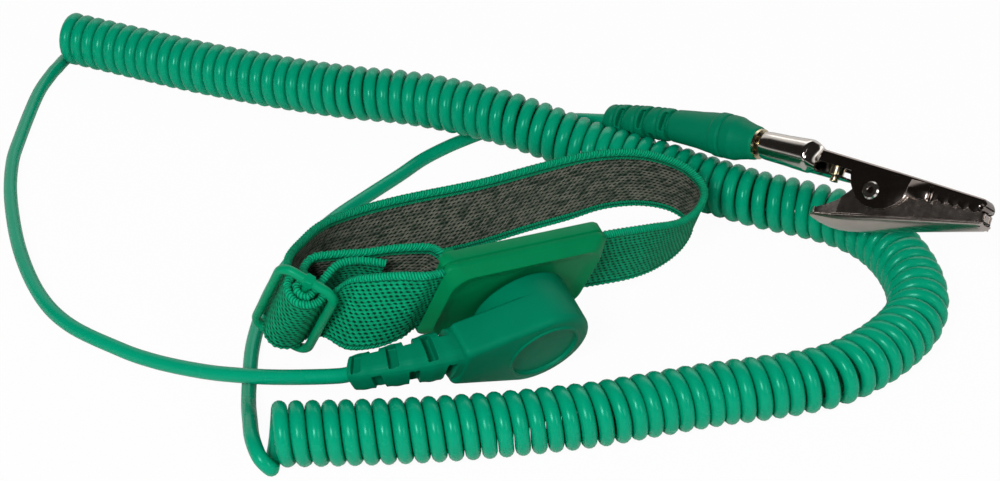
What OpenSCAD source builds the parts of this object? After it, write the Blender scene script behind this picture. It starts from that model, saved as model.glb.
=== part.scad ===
// Wrist strap with a snap connector, a curly cord, a banana plug and an alligator clip.
// Millimetres, +Z up. The strap stands on a table at z = 0.

/* [Webbing] */
// Width of the woven strap
webbing_w = 18; // [16:0.5:18.4]
// Thickness of the woven strap
webbing_t = 1.5; // [1.1:0.1:1.5]

/* [Plate housing] */
// Length of the moulded housing
housing_l = 38; // [36:1:42]
// Height of the moulded housing
housing_h = 21.6; // [21.6:0.2:25]
// Depth of the moulded housing
housing_d = 5.4; // [5:0.1:6.5]
// Height of the raised rim round the front face
rim_d = 0.7; // [0.3:0.1:1]
// Radius of the bar that the webbing goes round
bar_r = 1.3; // [1:0.1:1.4]
// Thickness of the stainless contact plate
contact_t = 0.5; // [0.3:0.1:0.8]

/* [Slider] */
// Length of the slider along the webbing
slider_l = 13.8; // [12:0.2:14]
// Height of the slider across the webbing
slider_h = 24.6; // [22.4:0.2:25]
// Radius of the slider's bars
slider_bar_r = 0.8; // [0.6:0.05:0.85]

/* [Snap] */
// Radius of the snap stud's head
stud_r = 2; // [1.9:0.05:2.2]
// Height of the snap stud above the housing's face
stud_h = 3.1; // [2.8:0.1:3.2]
// Radius of the snap socket's cup
socket_r = 4.6; // [4:0.1:5.5]

/* [Connector] */
// Radius of the connector's round end
shell_r = 10.2; // [9.8:0.1:11.5]
// Depth of the connector
shell_d = 11.9; // [11:0.1:14]
// Distance from the snap's axis to the end of the neck
neck_l = 19.4; // [19:0.2:22]
// Height of the neck
neck_h = 11; // [9:0.2:12]
// Radius of the round medallion
medallion_r = 7.4; // [5:0.1:7.6]
// Width of the strain relief at its tip
relief_w = 6; // [5.5:0.1:8]

/* [Cord] */
// Diameter of the cord
cord_d = 3; // [2.4:0.1:3]
// Outer diameter of the coil
coil_od = 12.6; // [11:0.1:12.6]
// Number of curls along the coil
curls = 84; // [60:1:88]

/* [Banana plug] */
// Length of the boot
boot_l = 43; // [38:1:48]
// Largest radius of the boot
boot_r = 4.9; // [4.4:0.1:5.2]
// Length of the plug's pin beyond its shoulder
pin_l = 14; // [13.5:0.25:14.5]
// Radius of the pin's core
pin_r = 1.3; // [1:0.1:1.5]

/* [Alligator clip] */
// Thickness of the clip's sheet
sheet = 0.45; // [0.3:0.05:0.5]
// Length of the clip from the barrel's mouth to the nose
clip_l = 56; // [54:1:60]
// Outer width of the upper jaw at the ears
clip_w = 7.8; // [7.4:0.1:9]
// Outer width of the jaws at the nose
nose_w = 4.6; // [4.4:0.1:5.5]
// Inner radius of the barrel
barrel_r = 2.5; // [2.4:0.05:2.8]
// Pitch of the teeth
tooth_pitch = 2.1; // [1.8:0.1:2.3]
// Outer radius of the rivet's shank
rivet_r = 1.25; // [1:0.05:1.4]

/* [Hidden] */
$fn = 48;

// Clearances
fit = 0.1; // between pieces that are put into one another
run = 0.05; // round a shaft that turns or slides
air = 0.3; // between pieces that move past each other
past = 1; // by which a cutter reaches beyond a face

// Where the plate, the slider and the clip stand, and how they are turned
middle = [1.4, -1.6, 0]; // middle of the strap and connector, in the coordinates of the points below
plate_pos = [6.8, -15.4, 13.6] - middle; // snap axis on the housing's front face
plate_turn = [22.5, 8.5, 32.5];
slider_pos = [-35.6, -25.3, 18.2] - middle; // middle of the slider
slider_turn = [16.5, 26, -16.5];
clip_pos = [59.8, 34, 19.2] - middle; // middle of the plug's shoulder
clip_turn = [-39.5, -9, -40.5];

// Colours
green = [0.02, 0.55, 0.4];
bright_green = [0.05, 0.66, 0.45];
dark_green = [0.02, 0.48, 0.34];
nickel = [0.6, 0.58, 0.56];
steel = [0.75, 0.75, 0.74];
brass = [0.8, 0.68, 0.35];
copper = [0.8, 0.45, 0.25];
cream = [0.85, 0.8, 0.65];

// ---- points and directions ----
function turn_x(a, p) = [p.x, p.y * cos(a) - p.z * sin(a), p.y * sin(a) + p.z * cos(a)];
function turn_y(a, p) = [p.x * cos(a) + p.z * sin(a), p.y, -p.x * sin(a) + p.z * cos(a)];
function turn_z(a, p) = [p.x * cos(a) - p.y * sin(a), p.x * sin(a) + p.y * cos(a), p.z];
function turned(t, p) = turn_z(t.z, turn_y(t.y, turn_x(t.x, p)));
function on_plate(p) = plate_pos + turned(plate_turn, p);
function on_slider(p) = slider_pos + turned(slider_turn, p);
function on_clip(p) = clip_pos + turned(clip_turn, p);
function unit(v) = v / norm(v);

// A smooth curve through points: p0..p3 are four in a row, t runs from p1 to p2
function smooth(p0, p1, p2, p3, t) =
    0.5 * (2 * p1 + (p2 - p0) * t + (2 * p0 - 5 * p1 + 4 * p2 - p3) * t * t
    + (3 * p1 - p0 - 3 * p2 + p3) * t * t * t);
function at(list, i) = list[max(0, min(len(list) - 1, i))];
function curve(list, steps) = [
    for (i = [0 : len(list) - 2], s = [0 : steps - 1])
        smooth(at(list, i - 1), list[i], list[i + 1], at(list, i + 2), s / steps),
    list[len(list) - 1]
];
function tangent(path, i) = unit(at(path, i + 1) - at(path, i - 1));

// A ring of points round a path, counted anticlockwise about the way ahead
function ring(centre, ahead, out, r, sides) =
    let (a = unit(out - (out * ahead) * ahead), b = cross(ahead, a))
    [for (j = [0 : sides - 1]) centre + r * (cos(360 * j / sides) * a + sin(360 * j / sides) * b)];

// A closed tube of such rings, joined by triangles
module tube(rings) {
    sides = len(rings[0]);
    end = (len(rings) - 1) * sides;
    points = [for (r = rings, p = r) p];
    walls = [for (i = [0 : sides : end - sides], j = [0 : sides - 1], half = [0, 1])
        let (a = i + j, b = i + (j + 1) % sides)
        half == 0 ? [a, b + sides, b] : [a, a + sides, b + sides]];
    first_cap = [for (j = [1 : sides - 2]) [0, j, j + 1]];
    last_cap = [for (j = [1 : sides - 2]) [end, end + j + 1, end + j]];
    polyhedron(points, concat(walls, first_cap, last_cap), convexity = 10);
}

module on_plate_frame() translate(plate_pos) rotate(plate_turn) children();
module on_slider_frame() translate(slider_pos) rotate(slider_turn) children();
module on_clip_frame() translate(clip_pos) rotate(clip_turn) children();
module across_y(w) rotate([90, 0, 0]) linear_extrude(w, center = true) children(); // outline in x and z
module along_y(from, to) translate([0, to, 0]) rotate([90, 0, 0]) linear_extrude(to - from) children();
module round_x(outline) rotate([0, 90, 0]) rotate_extrude() polygon(outline); // outline of [radius, x]
module round_y(outline) rotate([-90, 0, 0]) rotate_extrude() polygon(outline); // outline of [radius, y]
module rod_x(r, from, to) translate([from, 0, 0]) rotate([0, 90, 0]) cylinder(r = r, h = to - from);
module rounded(w, h, r) {
    for (x = [-1, 1], y = [-1, 1]) translate([x * (w / 2 - r), y * (h / 2 - r)]) circle(r);
    square([w - 2 * r, h], center = true);
    square([w, h - 2 * r], center = true);
}

// ---- cord routes ----
wrist_route = [
    [-33, -34.6, 9], [-39.2, -32.8, 7.6], [-44.2, -31.4, 6.8],
    [-51.5, -28.1, 5], [-58.9, -24, 3.3], [-65.4, -20.3, 2.3], [-72, -16, 1.7], [-83.4, -7.6, 1.5],
    [-91.3, 2.9, 1.5], [-98.5, 19.5, 1.5], [-104, 39, 1.5], [-106.5, 54, 1.5], [-106.8, 65, 1.5],
    [-106.2, 85, 1.5], [-104.6, 95, 1.5], [-103.6, 98.6, 1.5]
];
clip_route = [
    [-36.9, -53.4, 2.1], [-39.2, -53.2, 4.2], [-41.6, -49, 5.2],
    [-43.4, -42, 4.2], [-44.6, -33.5, 2], [-45.3, -24, 1.5], [-45.6, -16, 1.5], [-45.2, -8, 1.5],
    [-44, 2, 1.5], [-41.5, 12, 1.5], [-37, 23, 1.5], [-32, 32, 1.5], [-26, 40, 1.5], [-18.5, 49.5, 1.5],
    [-14, 55.6, 1.5], [-9.7, 60.1, 1.5], [-5.2, 64, 1.5], [1, 68.4, 1.5], [7.5, 71.4, 2], [14.5, 71.4, 4.6],
    [20.2, 68.4, 8.4]
];
coil_route = [
    [-101.4, 105, 6.3], [-85.5, 97.8, 6.4], [-71, 90.7, 6.8], [-57, 84.3, 7.4], [-42.8, 78.4, 8.1],
    [-30, 73.6, 8.9], [-19, 70.6, 9.5], [-9.8, 67.3, 9.8], [-0.6, 63.3, 9.9], [8.5, 59.1, 9.5],
    [17.5, 55.1, 8.1], [26.2, 51.3, 6.6], [38.3, 45.2, 6.3], [49.6, 38.1, 6.3], [60.2, 32.1, 6.3],
    [72.2, 27, 6.3], [80, 21.8, 6.3], [85.2, 14.7, 6.3], [88.3, 5, 6.3], [88.8, -4.8, 6.3],
    [86.4, -13, 6.3], [80.5, -21, 6.3], [73, -27.6, 6.3], [65.5, -31.6, 6.3], [55, -34.4, 6.3],
    [45, -36.4, 6.3], [33, -39.6, 6.3], [21.9, -42.6, 6.3], [7, -45.2, 6.3], [-8, -47, 6.3],
    [-23, -48, 6.3], [-36.4, -48.4, 6.3]
];

// ---- curly cord ----
cord_r = cord_d / 2;
coil_r = coil_od / 2 - cord_r; // radius of the cord's own centre line
rings_per_curl = 8;
cord_sides = 6;
lead_sides = 8;
coil_steps = curls * rings_per_curl;
function moved(list) = [for (p = list) p - middle];
coil_path = curve(moved(coil_route), 4);

// Distance along a path at each of its points
function marks(path, i = 1, out = [0]) =
    i >= len(path) ? out : marks(path, i + 1, concat(out, [out[i - 1] + norm(path[i] - path[i - 1])]));
coil_marks = marks(coil_path);
coil_l = coil_marks[len(coil_marks) - 1];

// Point at a distance along the coil's axis
function on_axis(s) =
    let (d = max(0, min(coil_l - 0.001, s)),
        i = len([for (m = coil_marks) if (m <= d) 1]) - 1,
        f = (d - coil_marks[i]) / (coil_marks[i + 1] - coil_marks[i]))
    coil_path[i] * (1 - f) + coil_path[i + 1] * f;

// Centre of the coil and the way out to the cord, at each step of the helix
coil_frames = [for (k = [0 : coil_steps])
    let (s = coil_l * k / coil_steps, t = unit(on_axis(s + 2) - on_axis(s - 2)),
        side = unit(cross(t, [0, 0, 1])), up = cross(side, t), turn = 360 * k / rings_per_curl)
    [on_axis(s), -cos(turn) * up - sin(turn) * side]];
coil_line = [for (f = coil_frames) f[0] + coil_r * f[1]];
coil_way_in = unit(cross([0, 0, 1], coil_path[1] - coil_path[0]));
coil_way_out = unit(cross([0, 0, 1], coil_path[len(coil_path) - 1] - coil_path[len(coil_path) - 2]));
coil_start = coil_line[0] - cord_d * coil_way_in;
coil_end = coil_line[coil_steps] + cord_d * coil_way_out;

// Least gap between neighbouring curls
coil_gap = min([for (k = [0 : coil_steps - rings_per_curl - 2], m = [-2 : 2])
    norm(coil_line[k] - coil_line[k + rings_per_curl + m])]) - cord_d;
echo(least_gap_between_curls = coil_gap);

module curly_cord() {
    rings = concat(
        [ring(coil_start, coil_way_in, coil_frames[0][1], cord_r, cord_sides)],
        [for (k = [0 : coil_steps])
            ring(coil_line[k], k == 0 ? coil_way_in : k == coil_steps ? coil_way_out : tangent(coil_line, k),
                coil_frames[k][1], cord_r, cord_sides)],
        [ring(coil_end, coil_way_out, coil_frames[coil_steps][1], cord_r, cord_sides)]);
    color(green) tube(rings);
}

// ---- strain relief of the connector, in the plate's frame ----
relief_start = [-neck_l, -8.5, 0];
relief_l = 20.8; // along its bend
relief_out = [-1, 0, 0];
relief_tip_way = unit([-0.64, 0.42, -0.64]);
function relief_point(t) = relief_start + relief_l * ((t - t * t / 2) * relief_out + t * t / 2 * relief_tip_way);
function relief_ahead(t) = unit((1 - t) * relief_out + t * relief_tip_way);
relief_tip = on_plate(relief_point(1));
relief_way = turned(plate_turn, relief_tip_way);

// ---- leads ----
module lead(path, first_way, last_way) {
    last = len(path) - 1;
    color(green) tube([for (i = [0 : last])
        let (ahead = i == 0 ? first_way : i == last ? last_way : tangent(path, i))
        ring(path[i], ahead, cross(ahead, unit([0.2, 0.3, -1])), cord_r, lead_sides)]);
}
plug_way = turned(clip_turn, [1, 0, 0]);
boot_end = on_clip([-boot_l, 0, 0]);

module lead_wrist() lead(
    concat([relief_tip], curve(concat([relief_tip + cord_d * relief_way], moved(wrist_route)), 2), [coil_start]),
    relief_way, coil_way_in);
module lead_clip() lead(
    concat([coil_end], curve(concat(moved(clip_route), [boot_end - cord_d * plug_way]), 2), [boot_end]),
    coil_way_out, plug_way);

// ---- webbing ----
// Each station is [middle of the strap, direction across its width]
plate_up = turned(plate_turn, [0, 0, 1]);
slider_up = turned(slider_turn, [0, 0, 1]);
strap_z = 3; // height of the strap's middle above the snap's axis, on the plate
bar_x = -17.2; // bar of the housing, from the snap's axis
bar_y = 4.7;
wrap_r = bar_r + fit + webbing_t / 2;
inner_r = slider_bar_r + fit + webbing_t / 2; // strap round the slider's centre bar
outer_r = inner_r + webbing_t + air;
function plate_stop(x, y) = [on_plate([x, y, strap_z]) + middle, plate_up];
function slider_stop(x, y) = [on_slider([x, y, 0]) + middle, slider_up];
function wrap_stop(a) = plate_stop(bar_x + wrap_r * sin(a), bar_y - wrap_r * cos(a));
strap_stations = [
    plate_stop(13.4, 3), plate_stop(16.5, 3), plate_stop(20, 3.1),
    [[32.9, 2.2, 13], [0.2, -0.32, 0.92]], [[39.5, 9.5, 10.4], [0.16, -0.44, 0.88]],
    [[44.1, 17, 9.4], [0.13, -0.5, 0.85]], [[45.9, 24.5, 9.6], [0.11, -0.5, 0.86]],
    [[42.3, 30.4, 10.3], [0.12, -0.42, 0.9]], [[35.6, 33.8, 10.4], [0.14, -0.32, 0.93]],
    [[27.9, 34.4, 9.9], [0.19, -0.2, 0.96]], [[20, 32, 9.5], [0.18, -0.06, 0.98]],
    [[11, 28.3, 9.1], [0.18, -0.04, 0.98]], [[-2, 21.4, 9.2], [0.19, 0, 0.98]],
    [[-18, 15.4, 9.2], [0.18, -0.02, 0.98]], [[-29.3, 8.4, 10.6], [0.22, -0.1, 0.97]],
    [[-34.4, 1.6, 12.7], [0.25, -0.17, 0.95]], [[-37.6, -6.8, 14.9], [0.27, -0.25, 0.93]],
    [[-39.2, -14.1, 17.5], [0.3, -0.32, 0.9]], [[-39.3, -20, 19.6], [0.32, -0.38, 0.87]],
    slider_stop(-outer_r - 0.2, 0.6), slider_stop(-outer_r + 0.1, -1), slider_stop(-2.2, -outer_r + 0.8),
    slider_stop(0, -outer_r - 0.1), slider_stop(2.2, -outer_r + 0.8), slider_stop(outer_r, -1),
    slider_stop(outer_r + 0.4, 0.6), slider_stop(outer_r + 1.4, 2),
    [[-27.3, -26.1, 19.1], [0.3, -0.24, 0.92]], [[-23.1, -28, 19.5], [0.25, 0, 0.97]],
    [[-17.7, -28.6, 20.4], [0.25, 0, 0.97]], [[-13, -27.6, 20.7], [0.29, -0.15, 0.94]],
    plate_stop(-20.6, 2.4), wrap_stop(0), wrap_stop(45), wrap_stop(90), wrap_stop(135), wrap_stop(180),
    [[-12.3, -17.3, 21.2], [0.32, -0.26, 0.91]], [[-18.7, -16.4, 20.6], [0.32, -0.29, 0.9]],
    [[-24.2, -16, 19.7], [0.32, -0.32, 0.89]], [[-30.2, -15.2, 19], [0.32, -0.36, 0.88]],
    [[-34.7, -15, 18.2], [0.32, -0.38, 0.87]], [[-36.4, -18.5, 18], [0.32, -0.39, 0.86]],
    slider_stop(-1, 2.2), slider_stop(-inner_r, 0), slider_stop(-1.2, -1.2), slider_stop(0, -inner_r),
    slider_stop(1.2, -1.2), slider_stop(inner_r, 0.4),
    [[-32.2, -22.4, 18.4], [0.32, -0.39, 0.86]], [[-29.6, -19.4, 19.5], [0.32, -0.36, 0.87]],
    [[-25.6, -18.4, 19.6], [0.32, -0.35, 0.88]], [[-20.6, -18.7, 18.9], [0.32, -0.32, 0.89]]
];
strap_middle = curve(moved([for (s = strap_stations) s[0]]), 3);
strap_across = curve([for (s = strap_stations) s[1]], 3);
// Section of the strap, as shares of its thickness and of its width, with rolled edges
strap_section = [
    [-0.5, 0.46], [-0.2, 0.5], [0.2, 0.5], [0.5, 0.46],
    [0.5, -0.46], [0.2, -0.5], [-0.2, -0.5], [-0.5, -0.46]
];

module webbing() {
    color(bright_green) tube([for (i = [0 : len(strap_middle) - 1])
        let (across = unit(strap_across[i]), out = unit(cross(tangent(strap_middle, i), across)))
        [for (c = strap_section) strap_middle[i] + c[0] * webbing_t * out + c[1] * webbing_w * across]]);
}

// ---- plate housing ----
housing_x = -0.8; // middle of the housing, from the snap's axis
body_corner = 2.6;
rim_corner = 4.2;
bevel_d = 1.4; // depth of the bevel between the sides and the rim
rim_inset = 1.6;
rim_w = 0.5;
dish_inset = 3.6;
groove_d = 0.3;
face_t = 1.5; // thickness of the face beside the bar
lug_in = webbing_w / 2 + air; // half the opening between the lugs
lug_out = housing_h / 2;
lug_r = 1.6;
pocket_x = 12;
pocket_y = 3;
shank_r = 1.5;

module housing_slab(from, to, inset, r)
    along_y(from, to) translate([housing_x, strap_z]) rounded(housing_l - 2 * inset, housing_h - 2 * inset, r);
module strap_cut(x_from, x_to, y_from, y_to)
    translate([x_from, y_from, strap_z - lug_in]) cube([x_to - x_from, y_to - y_from, 2 * lug_in]);

module plate_housing() color(dark_green) on_plate_frame() {
    difference() {
        union() {
            hull() {
                housing_slab(bevel_d - fit, bevel_d, 0, body_corner);
                housing_slab(-rim_d, -rim_d + fit, rim_inset, rim_corner);
            }
            housing_slab(bevel_d, housing_d, 0, body_corner);
            for (side = [-1, 1]) translate([bar_x, bar_y, strap_z + side * (lug_in + lug_out) / 2])
                cylinder(r = lug_r, h = lug_out - lug_in, center = true);
        }
        hull() {
            housing_slab(-rim_d - fit, -rim_d, rim_inset + rim_w, rim_corner);
            housing_slab(-fit, 0, dish_inset, rim_corner);
        }
        difference() {
            housing_slab(housing_d / 2 - groove_d, housing_d / 2 + groove_d, -past, body_corner);
            housing_slab(housing_d / 2 - past, housing_d / 2 + past, groove_d, body_corner);
        }
        strap_cut(housing_x - housing_l / 2 - past, bar_x + wrap_r + webbing_t / 2 + air, face_t, bar_y + lug_r + past);
        strap_cut(pocket_x, housing_x + housing_l / 2 + past,
            pocket_y - webbing_t / 2 - fit, pocket_y + webbing_t / 2 + fit);
        rotate([-90, 0, 0]) cylinder(r = shank_r + run, h = 4 * housing_d, center = true);
    }
    translate([bar_x, bar_y, strap_z]) cylinder(r = bar_r, h = 2 * lug_in + fit, center = true);
}

// ---- slider ----
end_bar_r = 1;
corner_r = 1.6;
knuckle_r = end_bar_r + 0.3; // where the centre bar meets the end bars
knuckle_l = 2.2;
module slider_buckle() color(bright_green) on_slider_frame() {
    long_x = slider_l / 2 - slider_bar_r;
    end_z = slider_h / 2 - end_bar_r;
    for (side = [-1, 1]) translate([side * long_x, 0, 0])
        cylinder(r = slider_bar_r, h = 2 * (end_z - corner_r), center = true);
    for (side = [-1, 1]) translate([0, 0, side * end_z]) {
        rotate([0, 90, 0]) cylinder(r = end_bar_r, h = 2 * (long_x - corner_r), center = true);
        rotate([0, 90, 0]) cylinder(r = knuckle_r, h = knuckle_l, center = true);
    }
    for (i = [0 : 3])
        translate([(i % 3 == 0 ? 1 : -1) * (long_x - corner_r), 0, (i < 2 ? 1 : -1) * (end_z - corner_r)])
            rotate([0, -90 * i, 0]) rotate([90, 0, 0])
                rotate_extrude(angle = 90) translate([corner_r, 0]) circle(slider_bar_r, $fn = 32);
    cylinder(r = slider_bar_r, h = 2 * end_z, center = true);
}

// ---- contact plate ----
contact_l = 30;
contact_h = 17;
contact_x = 2;
contact_y = housing_d + contact_t;

module contact_plate() color(steel) on_plate_frame() difference() {
    union() {
        along_y(housing_d, contact_y - contact_t / 2) translate([contact_x, strap_z])
            rounded(contact_l, contact_h, 2);
        along_y(contact_y - contact_t / 2, contact_y) translate([contact_x, strap_z])
            rounded(contact_l - contact_t, contact_h - contact_t, 2);
    }
    rotate([-90, 0, 0]) cylinder(r = pin_hole_r, h = 4 * housing_d, center = true);
}

// ---- snap ----
flange_r = 4.5;
flange_t = 0.3;
stud_neck_r = stud_r - 0.3;
pin_hole_r = 0.8; // bore of the stud, for the rivet's pin
cap_r = 3;
cap_t = 0.5;

module snap_stud() color(nickel) on_plate_frame() round_y([
    [0, -stud_h], [stud_r - 0.6, -stud_h], [stud_r, -stud_h + 0.6], [stud_r, -stud_h + 0.8],
    [stud_neck_r, -stud_h + 1.3], [stud_neck_r, -flange_t], [flange_r, -flange_t], [flange_r, 0],
    [shank_r, 0], [shank_r, housing_d - fit], [pin_hole_r, housing_d - fit], [pin_hole_r, 0.4], [0, 0.4]
]);

module stud_rivet() color(nickel) on_plate_frame() round_y([
    [0, 1], [pin_hole_r - run, 1], [pin_hole_r - run, contact_y], [cap_r, contact_y],
    [cap_r - 0.2, contact_y + cap_t * 0.6], [cap_r - 1, contact_y + cap_t], [0, contact_y + cap_t]
]);

socket_back = -(flange_t + air);
socket_d = 3.4;
socket_t = 0.5;
mouth_r = stud_r + air;
spring_wire_r = 0.25;
spring_ring_r = stud_neck_r + fit + spring_wire_r;
socket_spring_y = -1.5;

module snap_socket() color(nickel) on_plate_frame() round_y([
    [mouth_r, socket_back], [socket_r, socket_back], [socket_r, socket_back - socket_d],
    [0, socket_back - socket_d], [0, socket_back - socket_d + socket_t],
    [socket_r - socket_t, socket_back - socket_d + socket_t], [socket_r - socket_t, socket_back - socket_t],
    [mouth_r, socket_back - socket_t]
]);

module socket_spring() color(steel) on_plate_frame() translate([0, socket_spring_y, 0]) rotate([90, 0, 0])
    rotate_extrude(angle = 320) translate([spring_ring_r, 0]) circle(spring_wire_r, $fn = 16);

// ---- connector ----
shell_back = -(rim_d + air + fit);
shell_front = shell_back - shell_d;
neck_back = -5.5;
edge_r = 2.3; // rounding of the front edge
medallion_d = 0.35;
relief_base_w = 9;
relief_slots = 6;
slot_w = 1.4;
core_r = 0.6;
core_hole_r = core_r + fit;
relief_corners = [
    [1, -0.6], [1, 0.6], [0.6, 1], [-0.6, 1], [-1, 0.6], [-1, -0.6], [-0.6, -1], [0.6, -1]
];

module front_slab(from, to, inset) along_y(from, to) {
    circle(shell_r - inset, $fn = 32);
    translate([inset - neck_l, inset - neck_h / 2]) square([neck_l - inset, neck_h - 2 * inset]);
}
function relief_ring(t, half) =
    let (d = relief_ahead(t), a = unit(cross([0, 0, 1], d)), b = cross(d, a))
    [for (c = relief_corners) relief_point(t) + half * (c[0] * a + c[1] * b)];
function relief_half(t) = (relief_base_w * (1 - t) + relief_w * t) / 2;
module at_relief(t) {
    d = relief_ahead(t);
    translate(relief_point(t)) rotate([0, -asin(d.z), atan2(d.y, d.x)]) children();
}
module core_hole(r) tube([for (i = [-1 : 8]) ring(relief_point(i / 8), relief_ahead(max(0, i / 8)), [0, 0, 1], r, 8)]);

module connector_shell() color(green) on_plate_frame() difference() {
    union() {
        hull() {
            front_slab(shell_front + edge_r, neck_back, 0);
            front_slab(shell_front + edge_r * 0.3, shell_front + edge_r * 0.4, edge_r * 0.3);
            front_slab(shell_front, shell_front + fit, edge_r);
        }
        along_y(neck_back, shell_back) circle(shell_r, $fn = 32);
        tube([for (i = [-1 : 8]) relief_ring(i / 8, relief_half(i / 8))]);
    }
    for (i = [1 : relief_slots]) at_relief((i - 0.5) / relief_slots) {
        half = relief_half(i / relief_slots);
        deep = half - cord_r;
        for (side = [-1, 1])
            if (i % 2 == 0) // pockets in the top and the bottom
                translate([-slot_w / 2, -half * 0.7, side * half - deep]) cube([slot_w, half * 1.4, 2 * deep]);
            else // notches in the front and the back, each open at one end
                translate([-slot_w / 2, side * half - deep, -(1.25 + side * 0.75) * half])
                    cube([slot_w, 2 * deep, 2.5 * half]);
    }
    along_y(shell_front - past, shell_front + medallion_d) difference() {
        circle(medallion_r);
        circle(medallion_r - 0.6);
    }
    along_y(socket_back - socket_d - fit, 0) circle(socket_r + run);
    premould_block(run);
    translate([crimp_x - fit, relief_start.y, 0]) rod_x(crimp_r + run, 0, crimp_l + air + fit);
    core_hole(core_hole_r);
}

premould_r = 7.5;
premould_back = -2;
premould_front = -10;
trough_l = 17; // from the snap's axis to the end of the trough
trough_w = 5.2;
trough_back = -6.6;
trough_front = -10.4;
trough_wall = 0.6;
resistor_x = -12;
resistor_r = 1.25;
resistor_l = 6.5;
wire_r = 0.3;
tab_t = 0.4;
tab_w = 2;
tab_x = -5.6;
tab_hole = air;
module premould_block(grow) {
    along_y(premould_front - grow, premould_back + grow) circle(premould_r + grow);
    translate([-trough_l - grow, trough_front - grow, -trough_w / 2 - grow])
        cube([trough_l + 2 * grow, trough_back - trough_front + 2 * grow, trough_w + 2 * grow]);
}
module premould() color(dark_green) on_plate_frame() difference() {
    premould_block(0);
    along_y(socket_back - socket_d - fit, 0) circle(socket_r + run);
    translate([-trough_l + trough_wall, trough_front - past, trough_wall - trough_w / 2])
        cube([trough_l + tab_x, trough_back - trough_front - trough_wall + past, trough_w - 2 * trough_wall]);
    translate([-trough_l - past, relief_start.y, 0]) rod_x(wire_r + fit, 0, 2 * past);
    translate([tab_x - tab_hole, relief_start.y - tab_w / 2 - fit, -tab_w / 2 - tab_hole])
        cube([tab_t + 2 * tab_hole, socket_back - socket_d - relief_start.y + past, tab_w + 2 * tab_hole]);
    translate([tab_x - tab_hole, socket_back - socket_d - tab_t - fit, -tab_w / 2 - tab_hole])
        cube([tab_hole - tab_x + tab_w, tab_t + 2 * fit, tab_w + 2 * tab_hole]);
}

module resistor_body() color(cream) on_plate_frame() translate([resistor_x, relief_start.y, 0]) round_x([
    [0, -resistor_l / 2], [resistor_r, -resistor_l / 2], [resistor_r, -resistor_l / 2 + 1.3],
    [resistor_r * 0.84, -resistor_l / 2 + 1.6], [resistor_r * 0.84, resistor_l / 2 - 1.6],
    [resistor_r, resistor_l / 2 - 1.3], [resistor_r, resistor_l / 2], [0, resistor_l / 2]
]);
crimp_l = 3.2;
crimp_r = 1.1;
crimp_x = -trough_l - air - crimp_l;
module resistor_leads() color(nickel) on_plate_frame() translate([0, relief_start.y, 0]) {
    rod_x(wire_r, crimp_x + crimp_l / 2 + fit, resistor_x - resistor_l / 2);
    rod_x(wire_r, resistor_x + resistor_l / 2, tab_x);
}
module terminal_tab() color(nickel) on_plate_frame() difference() {
    union() {
        translate([tab_x, socket_back - socket_d - tab_t, -tab_w / 2]) cube([tab_w - tab_x, tab_t, tab_w]);
        translate([tab_x, relief_start.y - tab_w / 2, -tab_w / 2])
            cube([tab_t, socket_back - socket_d - relief_start.y + tab_w / 2, tab_w]);
    }
    translate([0, relief_start.y, 0]) rod_x(wire_r + run, tab_x - past, tab_x + past);
}
module splice_crimp() color(brass) on_plate_frame() translate([crimp_x, relief_start.y, 0]) difference() {
    rod_x(crimp_r, 0, crimp_l);
    rod_x(core_r + run, -past, crimp_l + past);
}
module core_wrist() color(copper) on_plate_frame()
    tube([for (i = [0 : 8]) ring(relief_point(i / 8), relief_ahead(i / 8), [0, 0, 1], core_r, 8)]);

// ---- banana plug ----
ribs = 6;
ribs_end = 23; // from the shoulder back to the last rib
rib_pitch = (boot_l - ribs_end) / ribs;
rib_r = boot_r * 0.76;
rib_root_r = boot_r * 0.58;
flange_x = -10.7;
pin_crimp_l = 15;
pin_crimp_r = 1.7;
pin_crimp_deep = 5;
shoulder_r = 3.3;
shoulder_back = -0.8;
shoulder_front = 0.4;

module plug_boot() color(green) on_clip_frame() round_x(concat(
    [[core_hole_r, -boot_l]],
    [for (i = [0 : ribs - 1], p = [[0, 0], [rib_r - 0.4, 0], [rib_r, 0.4], [rib_r, 1.7], [rib_root_r, 2.1]])
        if (i > 0 || p[0] > 0)
            [p[0] > 0 ? p[0] : rib_root_r, -boot_l + i * rib_pitch + p[1]]],
    [[rib_root_r, -ribs_end], [rib_r - 0.2, -ribs_end + 0.3], [rib_r + 0.1, -ribs_end + 4],
        [boot_r - 0.5, flange_x - 2.6], [boot_r - 0.3, flange_x - 0.2],
        [boot_r, flange_x + 0.3], [boot_r, flange_x + 2.2], [boot_r - 0.25, flange_x + 2.5],
        [boot_r - 0.05, flange_x + 2.9], [boot_r - 0.1, flange_x + 5],
        [shoulder_r + 0.5, -2.4], [shoulder_r + 0.2, shoulder_back],
        [pin_crimp_r + run, shoulder_back], [pin_crimp_r + run, -pin_crimp_l - fit],
        [core_hole_r, -pin_crimp_l - fit]]));

module plug_pin() color(brass) on_clip_frame() round_x([
    [core_r + run, -pin_crimp_l], [pin_crimp_r, -pin_crimp_l], [pin_crimp_r, shoulder_back],
    [shoulder_r, shoulder_back], [shoulder_r, shoulder_front], [pin_r, shoulder_front],
    [pin_r, pin_l - pin_r], [pin_r * 0.75, pin_l - pin_r * 0.35], [pin_r * 0.3, pin_l], [0, pin_l],
    [0, -pin_crimp_l + pin_crimp_deep], [core_r + run, -pin_crimp_l + pin_crimp_deep]
]);
module core_clip() color(copper) on_clip_frame() rod_x(core_r, -boot_l, -pin_crimp_l + pin_crimp_deep - fit);

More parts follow.
